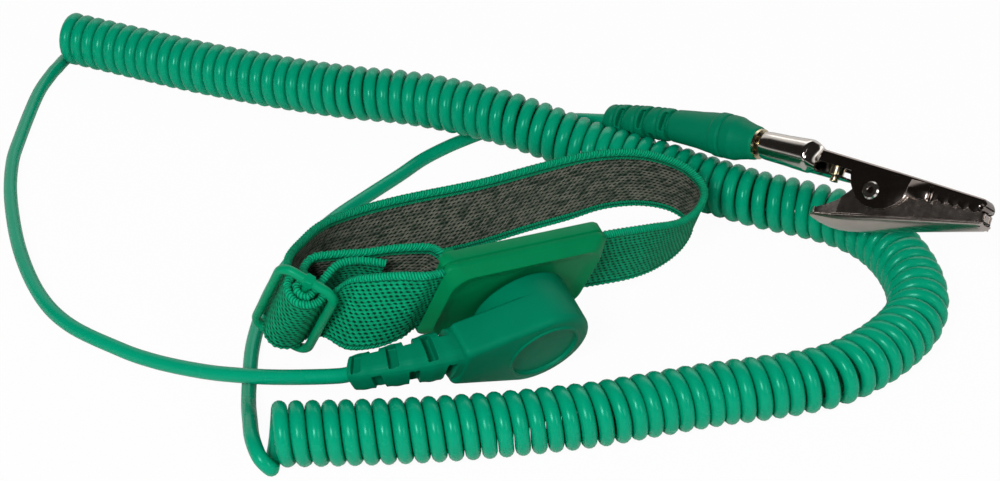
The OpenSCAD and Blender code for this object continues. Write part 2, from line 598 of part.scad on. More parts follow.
spring_from = 1.9; // collars and leaves of the lantern spring, along the pin
spring_to = 11.9;
collar_l = 0.8;
leaf_t = 0.25;
collar_r = pin_r + run + leaf_t;
bulge_r = barrel_r - run;
leaf_steps = 12;
function leaf_x(i) = spring_from + collar_l + (spring_to - spring_from - 2 * collar_l) * i / leaf_steps;
function leaf_r(i) = collar_r + (bulge_r - collar_r) * sin(180 * i / leaf_steps);

module plug_spring() color(brass) on_clip_frame() difference() {
    round_x(concat(
        [[collar_r - leaf_t, spring_from], [collar_r, spring_from]],
        [for (i = [0 : leaf_steps]) [leaf_r(i), leaf_x(i)]],
        [[collar_r, spring_to], [collar_r - leaf_t, spring_to]],
        [for (i = [leaf_steps : -1 : 0]) [leaf_r(i) - leaf_t, leaf_x(i)]]));
    for (a = [45, 135]) translate([(spring_from + spring_to) / 2, 0, 0]) rotate([a, 0, 0])
        cube([spring_to - spring_from - 3 * collar_l, 1, 4 * bulge_r], center = true);
}

// ---- alligator clip ----
barrel_from = 1.5;
nose_x = barrel_from + clip_l;
barrel_to = 13.2;
barrel_end_r = 3.6;
neck_from = barrel_to - 0.6;
neck_r = barrel_end_r - 0.2; // the neck starts inside the barrel's wall
neck_to = 23;
channel_from = 17.6;
window_from = 16;
rivet_at = [31.3, -4.4]; // x and z
ear_at = [32.3, -1.4];
ear_r = 5.6;
ear_from = 27.4;
ear_to = 36;
top_from = 1.7; // z of the upper jaw's top, at its start and near the nose
top_to = -0.3;
teeth_from = nose_x - 2.6;
teeth = floor(10 / tooth_pitch);
tooth_tip = -2.8;
tooth_root = -1.7;
nose_wall = 0.9;
function top_z(x) = top_from + (top_to - top_from) * (x - channel_from) / (nose_x - 1.3 - channel_from);

// Half a plan of the jaws is constant to the ears, then narrows to the nose
module plan(inset, to) {
    a = clip_w / 2 - inset;
    b = nose_w / 2 - inset + (a - nose_w / 2 + inset) * (nose_x - to) / (nose_x - ear_to);
    translate([0, 0, -20]) linear_extrude(30)
        polygon([[barrel_from, -a], [ear_to, -a], [to, -b], [to, b], [ear_to, a], [barrel_from, a]]);
}
module rivet_bore(r) translate([rivet_at.x, 0, rivet_at.y]) rotate([90, 0, 0])
    cylinder(r = r, h = 2 * clip_w, center = true);

// A ring of the neck between the round barrel and the square channel: squareness q is 0 to 1
function neck_ring(x, w, top, bottom, q, inset) = [for (j = [0 : 15])
    let (c = cos(22.5 * j), s = sin(22.5 * j), m = pow(max(abs(c), abs(s)), q))
    [x, (w / 2 - inset) * c / m, (top + bottom) / 2 + ((top - bottom) / 2 - inset) * s / m]];
module neck_tube(inset, extra) tube([
    neck_ring(neck_from - extra, 2 * neck_r, neck_r, -neck_r, 0, inset),
    neck_ring(barrel_to + 0.4, 2 * neck_r, neck_r - 0.1, -neck_r, 0.1, inset),
    neck_ring(channel_from - 2, clip_w - 0.5, 2.4, -neck_r, 0.4, inset),
    neck_ring(channel_from, clip_w - 0.3, 1.6, -neck_r, 0.6, inset),
    neck_ring(neck_to + extra, clip_w - 1, 1.6, -neck_r, 0.6, inset)
]);

module upper_side() {
    polygon(concat(
        [[channel_from, top_z(channel_from)], [nose_x - 1.3, top_to], [nose_x - 0.3, top_to - 0.4],
            [nose_x, top_to - 1], [nose_x - 0.3, tooth_tip + 0.5], [nose_x - 1.2, tooth_tip]],
        [for (i = [0 : teeth - 1], h = [0, 1])
            [teeth_from - (i + h / 2) * tooth_pitch, h == 0 ? tooth_root : tooth_tip]],
        [[teeth_from - teeth * tooth_pitch, tooth_root - 0.6], [nose_x - 14.5, -3.2], [ear_to + 4, -2.9]],
        [for (a = [-26 : -9 : -152]) ear_at + ear_r * [cos(a), sin(a)]],
        [[ear_from, -1], [ear_from - 2, -0.6], [channel_from, 0.4]]));
}
module jaw_tab(side) rotate([90, 0, 90]) linear_extrude(3.4)
    polygon([[0, -0.9], [side * 0.6, -2], [side * 0.6, -3.3], [0, -3.3], [-side * sheet, -3.3], [-side * sheet, -0.9]]);

module upper_jaw() color(nickel) on_clip_frame() difference() {
    union() {
        round_x([
            [barrel_r, barrel_from], [barrel_r + sheet, barrel_from], [barrel_r + sheet + 0.15, barrel_from + 1],
            [barrel_end_r, barrel_to], [barrel_end_r - sheet, barrel_to], [barrel_r, 7.5]
        ]);
        difference() {
            neck_tube(0, 0);
            neck_tube(sheet, past);
            translate([channel_from + 1.4, -clip_w, -2.3]) cube([neck_to, 2 * clip_w, 10]);
            translate([window_from, -clip_w, -2.3]) cube([neck_to, 2 * clip_w, 2.7]);
        }
        difference() {
            intersection() {
                across_y(2 * clip_w) upper_side();
                plan(0, nose_x);
            }
            intersection() {
                across_y(2 * clip_w) polygon([
                    [0, top_z(0) - sheet], [nose_x, top_z(nose_x) - sheet], [nose_x, -20], [0, -20]]);
                plan(sheet, nose_x - nose_wall);
            }
        }
        for (side = [-1, 1]) translate([ear_to + 4.2, side * (clip_w / 2 - 0.26), 0]) jaw_tab(side);
    }
    rivet_bore(rivet_r + 0.02);
    translate([screw_x, 0, -barrel_end_r - past]) cylinder(r = screw_r + run, h = 2 * past + sheet);
}

screw_x = 20.2;
screw_r = 0.9;
screw_head_r = 1.6;
screw_head_h = 1.5;
tongue_z = -neck_r + sheet; // floor of the tongue
module barrel_screw() color(nickel) on_clip_frame() translate([screw_x, 0, tongue_z]) difference() {
    union() {
        cylinder(r = screw_head_r, h = screw_head_h);
        translate([0, 0, -1.3]) cylinder(r = screw_r, h = 1.4);
    }
    translate([-screw_head_r - past, -0.25, screw_head_h - 0.6]) cube([2 * (screw_head_r + past), 0.5, past]);
}

jaw_inset = sheet + air; // the lower jaw's walls stand inside the upper jaw's
belly = [ // bottom of the lower jaw from the nose to the lever's tip
    [nose_x, -5.7], [nose_x - 0.7, -6.2], [29.2, -12.9], [24.8, -13.5], [21.8, -13.4], [19.2, -12.8]
];
lever_tip = [18.2, -11.9];
fold_back = -15.7; // crease between walls and belly: its height at x = 0 and at the nose
fold_front = -4.5;
lower_top = tooth_tip - air;
module lower_side() {
    polygon(concat(
        [[nose_x, lower_top]], belly,
        [lever_tip, [19.3, -10.8], [22, -9.6], [24.2, -7.9], [27, -4.6]],
        [for (a = [160 : -20 : 40]) rivet_at + 2.7 * [cos(a), sin(a)]],
        [[ear_to - 1, -3.6], [nose_x - 14.5, -3.5], [teeth_from - teeth * tooth_pitch, tooth_tip]],
        [for (i = [teeth - 1 : -1 : 0], h = [1, 0])
            [teeth_from - (i + h / 2) * tooth_pitch, h == 0 ? tooth_tip : tooth_root - air]],
        [[nose_x - 2, lower_top]]));
}
module below_fold(lower) across_y(2 * clip_w) polygon([
    [0, fold_back - lower], [nose_x + past, fold_front - lower], [nose_x + past, -20], [0, -20]]);

module lower_jaw() color(nickel) on_clip_frame() difference() {
    intersection() {
        across_y(2 * clip_w) lower_side();
        union() {
            plan(jaw_inset, nose_x);
            intersection() {
                plan(0, nose_x);
                below_fold(0);
            }
        }
    }
    intersection() {
        across_y(2 * clip_w) translate([0, sheet]) lower_side_open();
        union() {
            plan(jaw_inset + sheet, nose_x - nose_wall);
            intersection() {
                plan(sheet, nose_x - nose_wall);
                below_fold(sheet);
            }
        }
    }
    rivet_bore(rivet_r + run);
}
// The hollow of the lower jaw: everything above its bottom edge
module lower_side_open() polygon(concat(
    belly, [[lever_tip.x + 0.3, lever_tip.y - 0.3], [lever_tip.x - 4, -8], [lever_tip.x - 4, 5], [nose_x, 5]]));

rivet_head_r = 1.9;
rivet_head_t = 0.35;
module jaw_rivet() color(nickel) on_clip_frame() translate([rivet_at.x, 0, rivet_at.y]) round_y([
    [rivet_r - 0.45, -clip_w / 2 - rivet_head_t], [rivet_head_r - 0.3, -clip_w / 2 - rivet_head_t],
    [rivet_head_r, -clip_w / 2], [rivet_r, -clip_w / 2], [rivet_r, clip_w / 2], [rivet_head_r, clip_w / 2],
    [rivet_head_r - 0.3, clip_w / 2 + rivet_head_t], [rivet_r - 0.45, clip_w / 2 + rivet_head_t]
]);

// Torsion spring round the rivet, its arms on the upper jaw's roof and on the lever's floor
jaw_wire_r = 0.25;
jaw_coil_r = rivet_r + fit + jaw_wire_r;
jaw_coil_pitch = 1;
jaw_turns_from = 100;
jaw_turns_to = -770;
jaw_coil_w = jaw_coil_pitch * (jaw_turns_from - jaw_turns_to) / 360;
roof_arm_x = 24.4;
floor_arm = [23.6, -12.6];
jaw_path = concat(
    [[roof_arm_x, -jaw_coil_w / 2, top_z(roof_arm_x) - sheet - jaw_wire_r - fit]],
    [for (a = [jaw_turns_from : -30 : jaw_turns_to])
        [rivet_at.x + jaw_coil_r * cos(a), jaw_coil_pitch * (jaw_turns_from - a) / 360 - jaw_coil_w / 2,
            rivet_at.y + jaw_coil_r * sin(a)]],
    [[floor_arm.x, jaw_coil_w / 2, floor_arm.y]]);
echo(least_gap_in_jaw_spring = jaw_coil_pitch - 2 * jaw_wire_r);
module jaw_spring() color(steel) on_clip_frame()
    tube([for (i = [0 : len(jaw_path) - 1]) ring(jaw_path[i], tangent(jaw_path, i), [0, 1, 0], jaw_wire_r, 6)]);

webbing();
plate_housing();
contact_plate();
snap_stud();
stud_rivet();
slider_buckle();
connector_shell();
premould();
snap_socket();
socket_spring();
resistor_body();
resistor_leads();
terminal_tab();
splice_crimp();
lead_wrist();
curly_cord();
lead_clip();
core_wrist();
core_clip();
plug_boot();
plug_pin();
plug_spring();
upper_jaw();
lower_jaw();
jaw_rivet();
jaw_spring();
barrel_screw();
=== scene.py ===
# Wrist strap with its curly cord, banana plug and alligator clip
import math
import bpy
import bmesh
from mathutils import Euler, Matrix, Vector


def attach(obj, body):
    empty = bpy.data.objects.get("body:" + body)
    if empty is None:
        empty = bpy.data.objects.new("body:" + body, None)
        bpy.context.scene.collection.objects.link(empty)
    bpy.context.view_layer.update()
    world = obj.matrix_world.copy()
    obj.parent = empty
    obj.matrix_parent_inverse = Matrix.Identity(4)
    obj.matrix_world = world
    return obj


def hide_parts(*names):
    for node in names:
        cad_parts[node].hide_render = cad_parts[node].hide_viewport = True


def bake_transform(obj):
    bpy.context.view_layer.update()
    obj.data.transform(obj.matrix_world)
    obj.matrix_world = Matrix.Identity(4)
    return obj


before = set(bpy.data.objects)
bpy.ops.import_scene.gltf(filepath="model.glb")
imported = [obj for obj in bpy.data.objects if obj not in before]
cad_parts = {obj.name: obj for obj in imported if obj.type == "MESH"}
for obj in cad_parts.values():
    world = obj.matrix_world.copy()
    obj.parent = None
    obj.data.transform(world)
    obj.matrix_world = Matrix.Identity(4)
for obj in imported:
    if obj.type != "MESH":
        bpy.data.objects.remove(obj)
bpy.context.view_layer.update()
scene = bpy.context.scene
scene.view_settings.view_transform = "Standard"
mm = 0.001
up = Vector((0, 0, 1))
middle = Vector((1.4, -1.6, 0))  # middle of the strap, in the coordinates of the route points


def standFrame(place, turn):  # where a part stands on the table
    spin = Euler([math.radians(a) for a in turn], "XYZ").to_matrix().to_4x4()
    return Matrix.Scale(mm, 4) @ Matrix.Translation(Vector(place) - middle) @ spin


tableFrame = standFrame((0, 0, 0), (0, 0, 0))
plateFrame = standFrame((6.8, -15.4, 13.6), (22.5, 8.5, 32.5))
sliderFrame = standFrame((-35.6, -25.3, 18.2), (16.5, 26, -16.5))
clipFrame = standFrame((59.8, 34, 19.2), (-39.5, -9, -40.5))
fromTable = tableFrame.inverted()


def onTable(frameOf, point):  # a point of one frame, in route millimetres
    return fromTable @ (frameOf @ Vector(point))


def wayOf(frameOf, way):
    return (frameOf.to_3x3() @ Vector(way)).normalized()


# outlines and paths
def polar(r, a):
    return r * math.cos(a), r * math.sin(a)


def circle(count, r=1.0, shift=0.0):
    return [polar(r, math.tau * (j + shift) / count) for j in range(count)]


def roundedOutline(w, h, r, steps):  # a rectangle of half sizes w and h with round corners
    outline = []
    for corner, (sx, sz) in enumerate(((1, 1), (-1, 1), (-1, -1), (1, -1))):
        for i in range(steps + 1):
            x, z = polar(r, math.radians(90 * corner + 90 * i / steps))
            outline.append((sx * (w - r) + x, sz * (h - r) + z))
    return outline


def interpolate(table, x):
    for (xa, za), (xb, zb) in zip(table, table[1:]):
        if x <= xb:
            return za + (zb - za) * max(0, x - xa) / max(xb - xa, 1e-9)
    return table[-1][1]


def smoothCurve(points, steps):
    out, last = [], len(points) - 1
    for i in range(last):
        a, b, c, d = points[max(i - 1, 0)], points[i], points[i + 1], points[min(i + 2, last)]
        for s in range(steps):
            t = s / steps
            out.append(0.5 * (2 * b + (c - a) * t + (2 * a - 5 * b + 4 * c - d) * t * t
                              + (3 * b - a - 3 * c + d) * t ** 3))
    out.append(points[last].copy())
    return out


def pathMarks(path):
    marks = [0.0]
    for a, b in zip(path, path[1:]):
        marks.append(marks[-1] + (b - a).length)
    return marks


def evenly(path, step, also=()):  # the path, and lists that go with it, at even distances
    marks, k = pathMarks(path), 0
    count = max(2, round(marks[-1] / step))
    out = [[] for _ in range(1 + len(also))]
    for i in range(count + 1):
        s = marks[-1] * i / count
        while k < len(marks) - 2 and marks[k + 1] < s:
            k += 1
        t = (s - marks[k]) / max(marks[k + 1] - marks[k], 1e-9)
        for target, source in zip(out, (path, *also)):
            target.append(source[k].lerp(source[k + 1], t))
    return out


def ahead(path, i):
    return (path[min(i + 1, len(path) - 1)] - path[max(i - 1, 0)]).normalized()


# meshes
def shade(piece, sharp):
    piece.data.shade_smooth()
    if sharp:
        piece.data.set_sharp_from_angle(angle=math.radians(sharp))


def newMesh(name, materials):
    mesh = bpy.data.meshes.new(name)
    for m in materials:
        mesh.materials.append(m)
    return mesh


def linked(name, mesh, sharp):
    piece = bpy.data.objects.new(name, mesh)
    scene.collection.objects.link(piece)
    shade(piece, sharp)
    return piece


def newPiece(name, verts, faces, frameOf, materials, uvs=None, slots=None, sharp=40):
    mesh = newMesh(name, materials)
    mesh.from_pydata([frameOf @ Vector(v) for v in verts], [], faces)
    if slots:
        mesh.polygons.foreach_set("material_index", slots)
    if uvs:
        layer = mesh.uv_layers.new(name="grain")
        layer.data.foreach_set("uv", [c for face in uvs for corner in face for c in corner])
    mesh.update()
    return linked(name, mesh, sharp)


def bmPiece(name, bm, frameOf, materials, sharp=40):
    bmesh.ops.recalc_face_normals(bm, faces=bm.faces)
    mesh = newMesh(name, materials)
    bm.transform(frameOf)
    bm.to_mesh(mesh)
    bm.free()
    return linked(name, mesh, sharp)


def loft(bm, rings):
    rows = [[bm.verts.new(p) for p in ring] for ring in rings]
    n = len(rings[0])
    for a, b in zip(rows, rows[1:]):
        for j in range(n):
            bm.faces.new((a[j], a[(j + 1) % n], b[(j + 1) % n], b[j]))
    bm.faces.new(rows[0][::-1])
    bm.faces.new(rows[-1])


def turned(bm, profile, axis, count, centre=(0, 0, 0)):  # turned from points of (along the axis, radius)
    rings = []
    for along, r in profile:
        ways = [{"x": (along, c, s), "y": (c, along, s), "z": (c, s, along)} for c, s in circle(count, r)]
        rings.append([Vector(centre) + Vector(way[axis]) for way in ways])
    loft(bm, rings)


def block(bm, low, high, turn=None):
    low, high = Vector(low), Vector(high)
    place = Matrix.Translation((low + high) / 2) @ Matrix.Diagonal((*(high - low), 1))
    bmesh.ops.create_cube(bm, size=1, matrix=(turn or Matrix.Identity(4)) @ place)


def settle(piece, sharp=None):  # bakes the modifiers into the mesh
    graph = bpy.context.evaluated_depsgraph_get()
    mesh = bpy.data.meshes.new_from_object(piece.evaluated_get(graph))
    piece.modifiers.clear()
    piece.data = mesh
    shade(piece, sharp)
    return piece


def cutAway(piece, cutter):
    cut = piece.modifiers.new("cut", "BOOLEAN")
    cut.operation, cut.solver, cut.object = "DIFFERENCE", "EXACT", cutter
    settle(piece, 40)
    bpy.data.objects.remove(cutter)


def bevelled(piece, width, angle, material=-1):
    edge = piece.modifiers.new("edge", "BEVEL")
    edge.width, edge.segments, edge.material = width * mm, 2, material
    edge.limit_method, edge.angle_limit = "ANGLE", math.radians(angle)
    return settle(piece, 35)


def moulded(piece, voxel, passes):  # one skin over overlapping solids, with soft edges
    skin = piece.modifiers.new("skin", "REMESH")
    skin.mode, skin.voxel_size, skin.use_smooth_shade = "VOXEL", voxel * mm, True
    soft = piece.modifiers.new("soft", "SMOOTH")
    soft.factor, soft.iterations = 0.5, passes
    settle(piece)


def takeMaterial(piece, material):
    piece.data.materials.clear()
    piece.data.materials.append(material)


# materials
def newMaterial(name, colour, roughness, metallic=0.0, specular=0.5):
    m = bpy.data.materials.new(name)
    m.use_nodes = True
    shader = m.node_tree.nodes["Principled BSDF"]
    shader.inputs["Base Color"].default_value = (*colour, 1)
    shader.inputs["Roughness"].default_value = roughness
    shader.inputs["Metallic"].default_value = metallic
    shader.inputs["Specular IOR Level"].default_value = specular
    return m, shader


class Nodes:  # short ways to add nodes to a material or to the world
    def __init__(self, owner):
        self.tree = owner.node_tree
        self.shader = self.tree.nodes.get("Principled BSDF")

    def add(self, kind, links=None, **settings):
        node = self.tree.nodes.new(kind)
        for key, value in settings.items():
            setattr(node, key, value)
        for key, source in (links or {}).items():
            if isinstance(source, bpy.types.NodeSocket):
                self.tree.links.new(source, node.inputs[key])
            else:
                node.inputs[key].default_value = source
        return node

    def math(self, operation, a, b=0.0, c=0.0):
        return self.add("ShaderNodeMath", {0: a, 1: b, 2: c}, operation=operation).outputs[0]

    def noise(self, scale, detail=2.0, roughness=0.5, vector=None):
        where = vector or self.add("ShaderNodeTexCoord").outputs["Object"]
        node = self.add("ShaderNodeTexNoise", {"Vector": where, "Scale": scale, "Detail": detail,
                                               "Roughness": roughness})
        return node.outputs["Fac"]

    def range(self, value, low, high, outLow, outHigh, smooth=False):
        ends = {"Value": value, "From Min": low, "From Max": high, "To Min": outLow, "To Max": outHigh}
        kind = "SMOOTHSTEP" if smooth else "LINEAR"
        return self.add("ShaderNodeMapRange", ends, interpolation_type=kind).outputs["Result"]

    def ridges(self, value, width=1.0):  # rounded ridges of that width, with sharp valleys
        return self.math("ABSOLUTE", self.math("SINE", self.math("MULTIPLY", value, math.pi / width)))

    def mix(self, share, a, b, blend="MIX"):
        a, b = [c if isinstance(c, bpy.types.NodeSocket) else (*c, 1) for c in (a, b)]
        return self.add("ShaderNodeMix", {0: share, 6: a, 7: b}, data_type="RGBA", blend_type=blend).outputs[2]

    def ramp(self, value, *stops):
        node = self.add("ShaderNodeValToRGB", {0: value})
        for element, (place, colour) in zip(node.color_ramp.elements, stops):
            element.position, element.color = place, (*colour, 1)
        return node.outputs[0]

    def bump(self, height, strength, distance):
        node = self.add("ShaderNodeBump", {"Height": height, "Strength": strength, "Distance": distance})
        self.give("Normal", node.outputs["Normal"])

    def give(self, key, source):
        self.tree.links.new(source, self.shader.inputs[key])


plasticLook = {"tint": (0.35, 1.0, 0.85, 1), "cloudSize": 90.0, "wearSize": 420.0, "grainSize": 9000.0,
               "grainDepth": 0.06}
metalLook = {"cloudSize": 160.0, "wearSize": 700.0, "grainSize": 1400.0, "grainDepth": 0.05, "darker": 0.88}


def plasticFinish(name, colour, roughness, cloud=0.14, grain=0.12, specular=0.22):
    m, shader = newMaterial(name, colour, roughness, specular=specular)
    shader.inputs["Specular Tint"].default_value = plasticLook["tint"]
    n = Nodes(m)
    dark = tuple(c * (1 - cloud) for c in colour)
    light = tuple(min(1.0, c * (1 + cloud * 0.6)) for c in colour)
    clouds, wear = n.noise(plasticLook["cloudSize"], 3.0), n.noise(plasticLook["wearSize"], 4.0)
    n.give("Base Color", n.mix(n.range(clouds, 0.3, 0.7, 0.0, 1.0), dark, light))
    n.give("Roughness", n.range(wear, 0.25, 0.75, roughness - 0.05, roughness + 0.07))
    n.bump(n.noise(plasticLook["grainSize"], 2.0), grain, plasticLook["grainDepth"] * mm)
    return m


def metalFinish(name, colour, roughness, smear=0.06):
    m, shader = newMaterial(name, colour, roughness, metallic=1.0)
    n = Nodes(m)
    dark = tuple(c * metalLook["darker"] for c in colour)
    clouds, wear = n.noise(metalLook["cloudSize"], 4.0), n.noise(metalLook["wearSize"], 5.0, 0.65)
    n.give("Base Color", n.mix(n.range(clouds, 0.3, 0.75, 0.0, 1.0), dark, colour))
    n.give("Roughness", n.range(wear, 0.3, 0.8, roughness, roughness + smear))
    n.bump(n.noise(metalLook["grainSize"], 3.0), 0.04, metalLook["grainDepth"] * mm)
    return m


cordFinish = plasticFinish("glossyCordGreen", (0.0, 0.33, 0.175), 0.24, cloud=0.04, grain=0.0, specular=0.3)
mouldFinish = plasticFinish("mouldedRubberGreen", (0.0, 0.2, 0.1), 0.42, cloud=0.08, grain=0.16,
                            specular=0.12)
plateFinish = plasticFinish("plateGreen", (0.0, 0.22, 0.075), 0.38, cloud=0.08, grain=0.1, specular=0.12)
sliderFinish = plasticFinish("sliderGreen", (0.0, 0.29, 0.13), 0.28, cloud=0.08, grain=0.06, specular=0.2)
premouldFinish = plasticFinish("hardCoreGreen", (0.0, 0.2, 0.11), 0.5, grain=0.2)
resistorFinish = plasticFinish("resistorLacquer", (0.62, 0.5, 0.3), 0.3, grain=0.05)
nickelFinish = metalFinish("nickelPlate", (0.62, 0.58, 0.54), 0.12)
rivetFinish = metalFinish("brightNickel", (0.75, 0.72, 0.68), 0.16)
lowerFinish = metalFinish("lowerJawNickel", (0.5, 0.44, 0.4), 0.2, smear=0.1)
# painted shade: the upper jaw's nickel, the same plate as the barrel, darkened to stand in for dark
# reflections on its flat sides
shadedNickelFinish = metalFinish("jawNickelPaintedShade", (0.27, 0.23, 0.21), 0.14)
# painted highlight: a near-white metal put on the bevelled edges to draw bright edge lines
edgeHighlightFinish = metalFinish("paintedEdgeHighlight", (0.95, 0.9, 0.85), 0.4)
steelFinish = metalFinish("polishedSteel", (0.66, 0.66, 0.65), 0.2)
brassFinish = metalFinish("platedBrass", (0.72, 0.62, 0.42), 0.2)
copperFinish = metalFinish("tinnedCopper", (0.72, 0.48, 0.34), 0.3)

weave = {"along": 1.15, "across": 0.95, "slant": 0.5, "wobble": 0.7, "holeFrom": 0.38, "holeTo": 1.15,
         "border": 7.6, "liningBorder": 6.8, "groove": 7.65, "rib": 0.55, "depth": 0.3}


def weaveFinish(name, yarn, deep, holeShade, edgeYarn, lining):  # u runs along the strap and v across it, in mm
    m = newMaterial(name, yarn, 0.8, specular=0.12)[0]
    n = Nodes(m)
    where = n.add("ShaderNodeUVMap", uv_map="grain").outputs["UV"]
    split = n.add("ShaderNodeSeparateXYZ", {0: where})
    v = split.outputs["Y"]
    wobble = n.math("MULTIPLY", n.math("SUBTRACT", n.noise(0.5, vector=where), 0.5), weave["wobble"])
    u = n.math("ADD", split.outputs["X"], wobble)
    row = n.math("DIVIDE", n.math("MULTIPLY_ADD", wobble, 0.4, v), weave["across"])
    column = n.math("MULTIPLY_ADD", row, weave["slant"], n.math("DIVIDE", u, weave["along"]))
    s, t = n.ridges(column), n.ridges(row)
    both = n.math("SQRT", n.math("MULTIPLY_ADD", s, s, n.math("MULTIPLY", t, t)))
    thread = n.range(both, weave["holeFrom"], weave["holeTo"], 0.0, 1.0, smooth=True)
    fibre = n.noise(5.0, 3.0, vector=where)
    cell = n.add("ShaderNodeCombineXYZ", {i: n.math("FLOOR", n.math("ADD", c, 0.5))
                                          for i, c in enumerate((column, row))}).outputs[0]
    speck = n.add("ShaderNodeTexWhiteNoise", {"Vector": cell}, noise_dimensions="2D").outputs["Value"]
    share = n.math("MULTIPLY_ADD", fibre, 0.6, n.math("MULTIPLY", speck, 0.75 if lining else 0.3))
    tone = n.mix(n.range(share, 0.3, 1.0 if lining else 0.7, 0.0, 1.0), deep, yarn)
    side = n.math("ABSOLUTE", v)
    limit = weave["liningBorder" if lining else "border"]
    border = n.range(side, limit - 0.08, limit + 0.08, 0.0, 1.0, smooth=True)
    rib = n.range(n.ridges(n.math("MULTIPLY_ADD", side, 0.5, u), weave["rib"]), 0.0, 0.8, 0.35, 1.0)
    fromGroove = n.math("ABSOLUTE", n.math("SUBTRACT", side, weave["groove"]))
    gap = n.range(fromGroove, 0.0, 0.3, 0.0, 1.0, smooth=True)
    ribShare = n.math("MULTIPLY", rib, n.math("MULTIPLY_ADD", gap, 0.75, 0.25))
    # painted shade: the holes between threads, the valleys between the edge ribs and the groove beside the
    # edge take a near-black colour
    n.give("Base Color", n.mix(border, n.mix(thread, holeShade, tone), n.mix(ribShare, holeShade, edgeYarn)))
    flat = n.math("MULTIPLY", thread, n.math("SUBTRACT", 1.0, border))
    height = n.math("MULTIPLY_ADD", ribShare, border, flat)
    n.bump(n.math("MULTIPLY_ADD", fibre, 0.2, height), 0.9, weave["depth"] * mm)
    return m


# the third colour of each weave is painted shade for its holes, rib valleys and groove
outerWeave = weaveFinish("greenWeave", (0.0, 0.42, 0.2), (0.0, 0.27, 0.12), (0.0, 0.035, 0.018),
                         (0.0, 0.4, 0.19), False)
innerWeave = weaveFinish("greyConductiveWeave", (0.2, 0.2, 0.16), (0.04, 0.06, 0.042), (0.003, 0.02, 0.012),
                         (0.0, 0.36, 0.17), True)
print("materials made")

# camera and light
view = {"lens": 79.06, "sensor": 36, "place": (4, -368, 265.3), "way": (0, 0.829, -0.559)}
studio = {"key": 4.2, "fill": 0.9, "rim": 0.6, "ambient": 0.26, "paper": (0.9, 0.88, 0.86),
          "room": (0.02, 0.018, 0.016), "paperTo": 0.16, "backFrom": 0.46, "backTo": 0.64,
          "floorReach": 2500, "floorZ": -0.05, "floorGlow": 0.96}
camera = bpy.data.objects.new("camera", bpy.data.cameras.new("camera"))
scene.collection.objects.link(camera)
scene.camera = camera
camera.data.lens, camera.data.sensor_width = view["lens"], view["sensor"]
camera.location = tableFrame @ Vector(view["place"])
camera.rotation_euler = Vector(view["way"]).to_track_quat("-Z", "Y").to_euler()


def softbox(name, place, size, power):
    lamp = bpy.data.lights.new(name, "AREA")
    lamp.shape, lamp.size, lamp.size_y, lamp.energy = "RECTANGLE", size[0], size[1], power
    lampObject = bpy.data.objects.new(name, lamp)
    lampObject.location = place
    lampObject.rotation_euler = (-Vector(place)).to_track_quat("-Z", "Y").to_euler()
    scene.collection.objects.link(lampObject)


softbox("keyBox", (-0.22, -0.6, 0.5), (0.2, 0.24), studio["key"])
softbox("fillBox", (0.5, -0.45, 0.35), (0.3, 0.3), studio["fill"])
softbox("rimBox", (0.15, 0.6, 0.5), (0.6, 0.25), studio["rim"])


def makeWorld():
    world = bpy.data.worlds.new("studioWorld")
    scene.world = world
    world.use_nodes = True
    n = Nodes(world)
    n.tree.nodes.clear()
    rays = n.add("ShaderNodeLightPath")
    split = n.add("ShaderNodeSeparateXYZ", {0: n.add("ShaderNodeTexCoord").outputs["Generated"]})
    sky = n.ramp(split.outputs["Z"], (0.0, studio["paper"]), (studio["paperTo"], studio["room"]))
    back = n.ramp(split.outputs["Y"], (studio["backFrom"], (0, 0, 0)), (studio["backTo"], studio["paper"]))
    lit = n.mix(1.0, sky, back, "LIGHTEN")  # dark room above, white paper low and behind
    inputs = [{0: lit, 1: 1.0}, {0: (1, 1, 1, 1), 1: studio["ambient"]}, {0: (1, 1, 1, 1), 1: 1.0}]
    shine, plain, paper = [n.add("ShaderNodeBackground", links).outputs[0] for links in inputs]
    glossy = n.add("ShaderNodeMixShader", {0: rays.outputs["Is Glossy Ray"], 1: plain, 2: shine})
    seen = n.add("ShaderNodeMixShader", {0: rays.outputs["Is Camera Ray"], 1: glossy.outputs[0], 2: paper})
    n.add("ShaderNodeOutputWorld", {0: seen.outputs[0]})


def makeFloor():
    m, shader = newMaterial("paperFloor", (0.9, 0.9, 0.9), 0.9, specular=0.1)
    n = Nodes(m)
    glow = n.add("ShaderNodeEmission", {"Color": (1, 1, 1, 1), "Strength": 1.0})
    share = n.math("MULTIPLY", n.add("ShaderNodeLightPath").outputs["Is Camera Ray"], studio["floorGlow"])
    both = n.add("ShaderNodeMixShader", {0: share, 1: shader.outputs[0], 2: glow.outputs[0]})
    n.tree.links.new(both.outputs[0], n.tree.nodes["Material Output"].inputs[0])
    r, z = studio["floorReach"], studio["floorZ"]
    corners = [(-r, -r, z), (r, -r, z), (r, r, z), (-r, r, z)]
    return newPiece("floor", corners, [(0, 1, 2, 3)], tableFrame, [m])


makeWorld()
floor = makeFloor()
print("camera and light made")

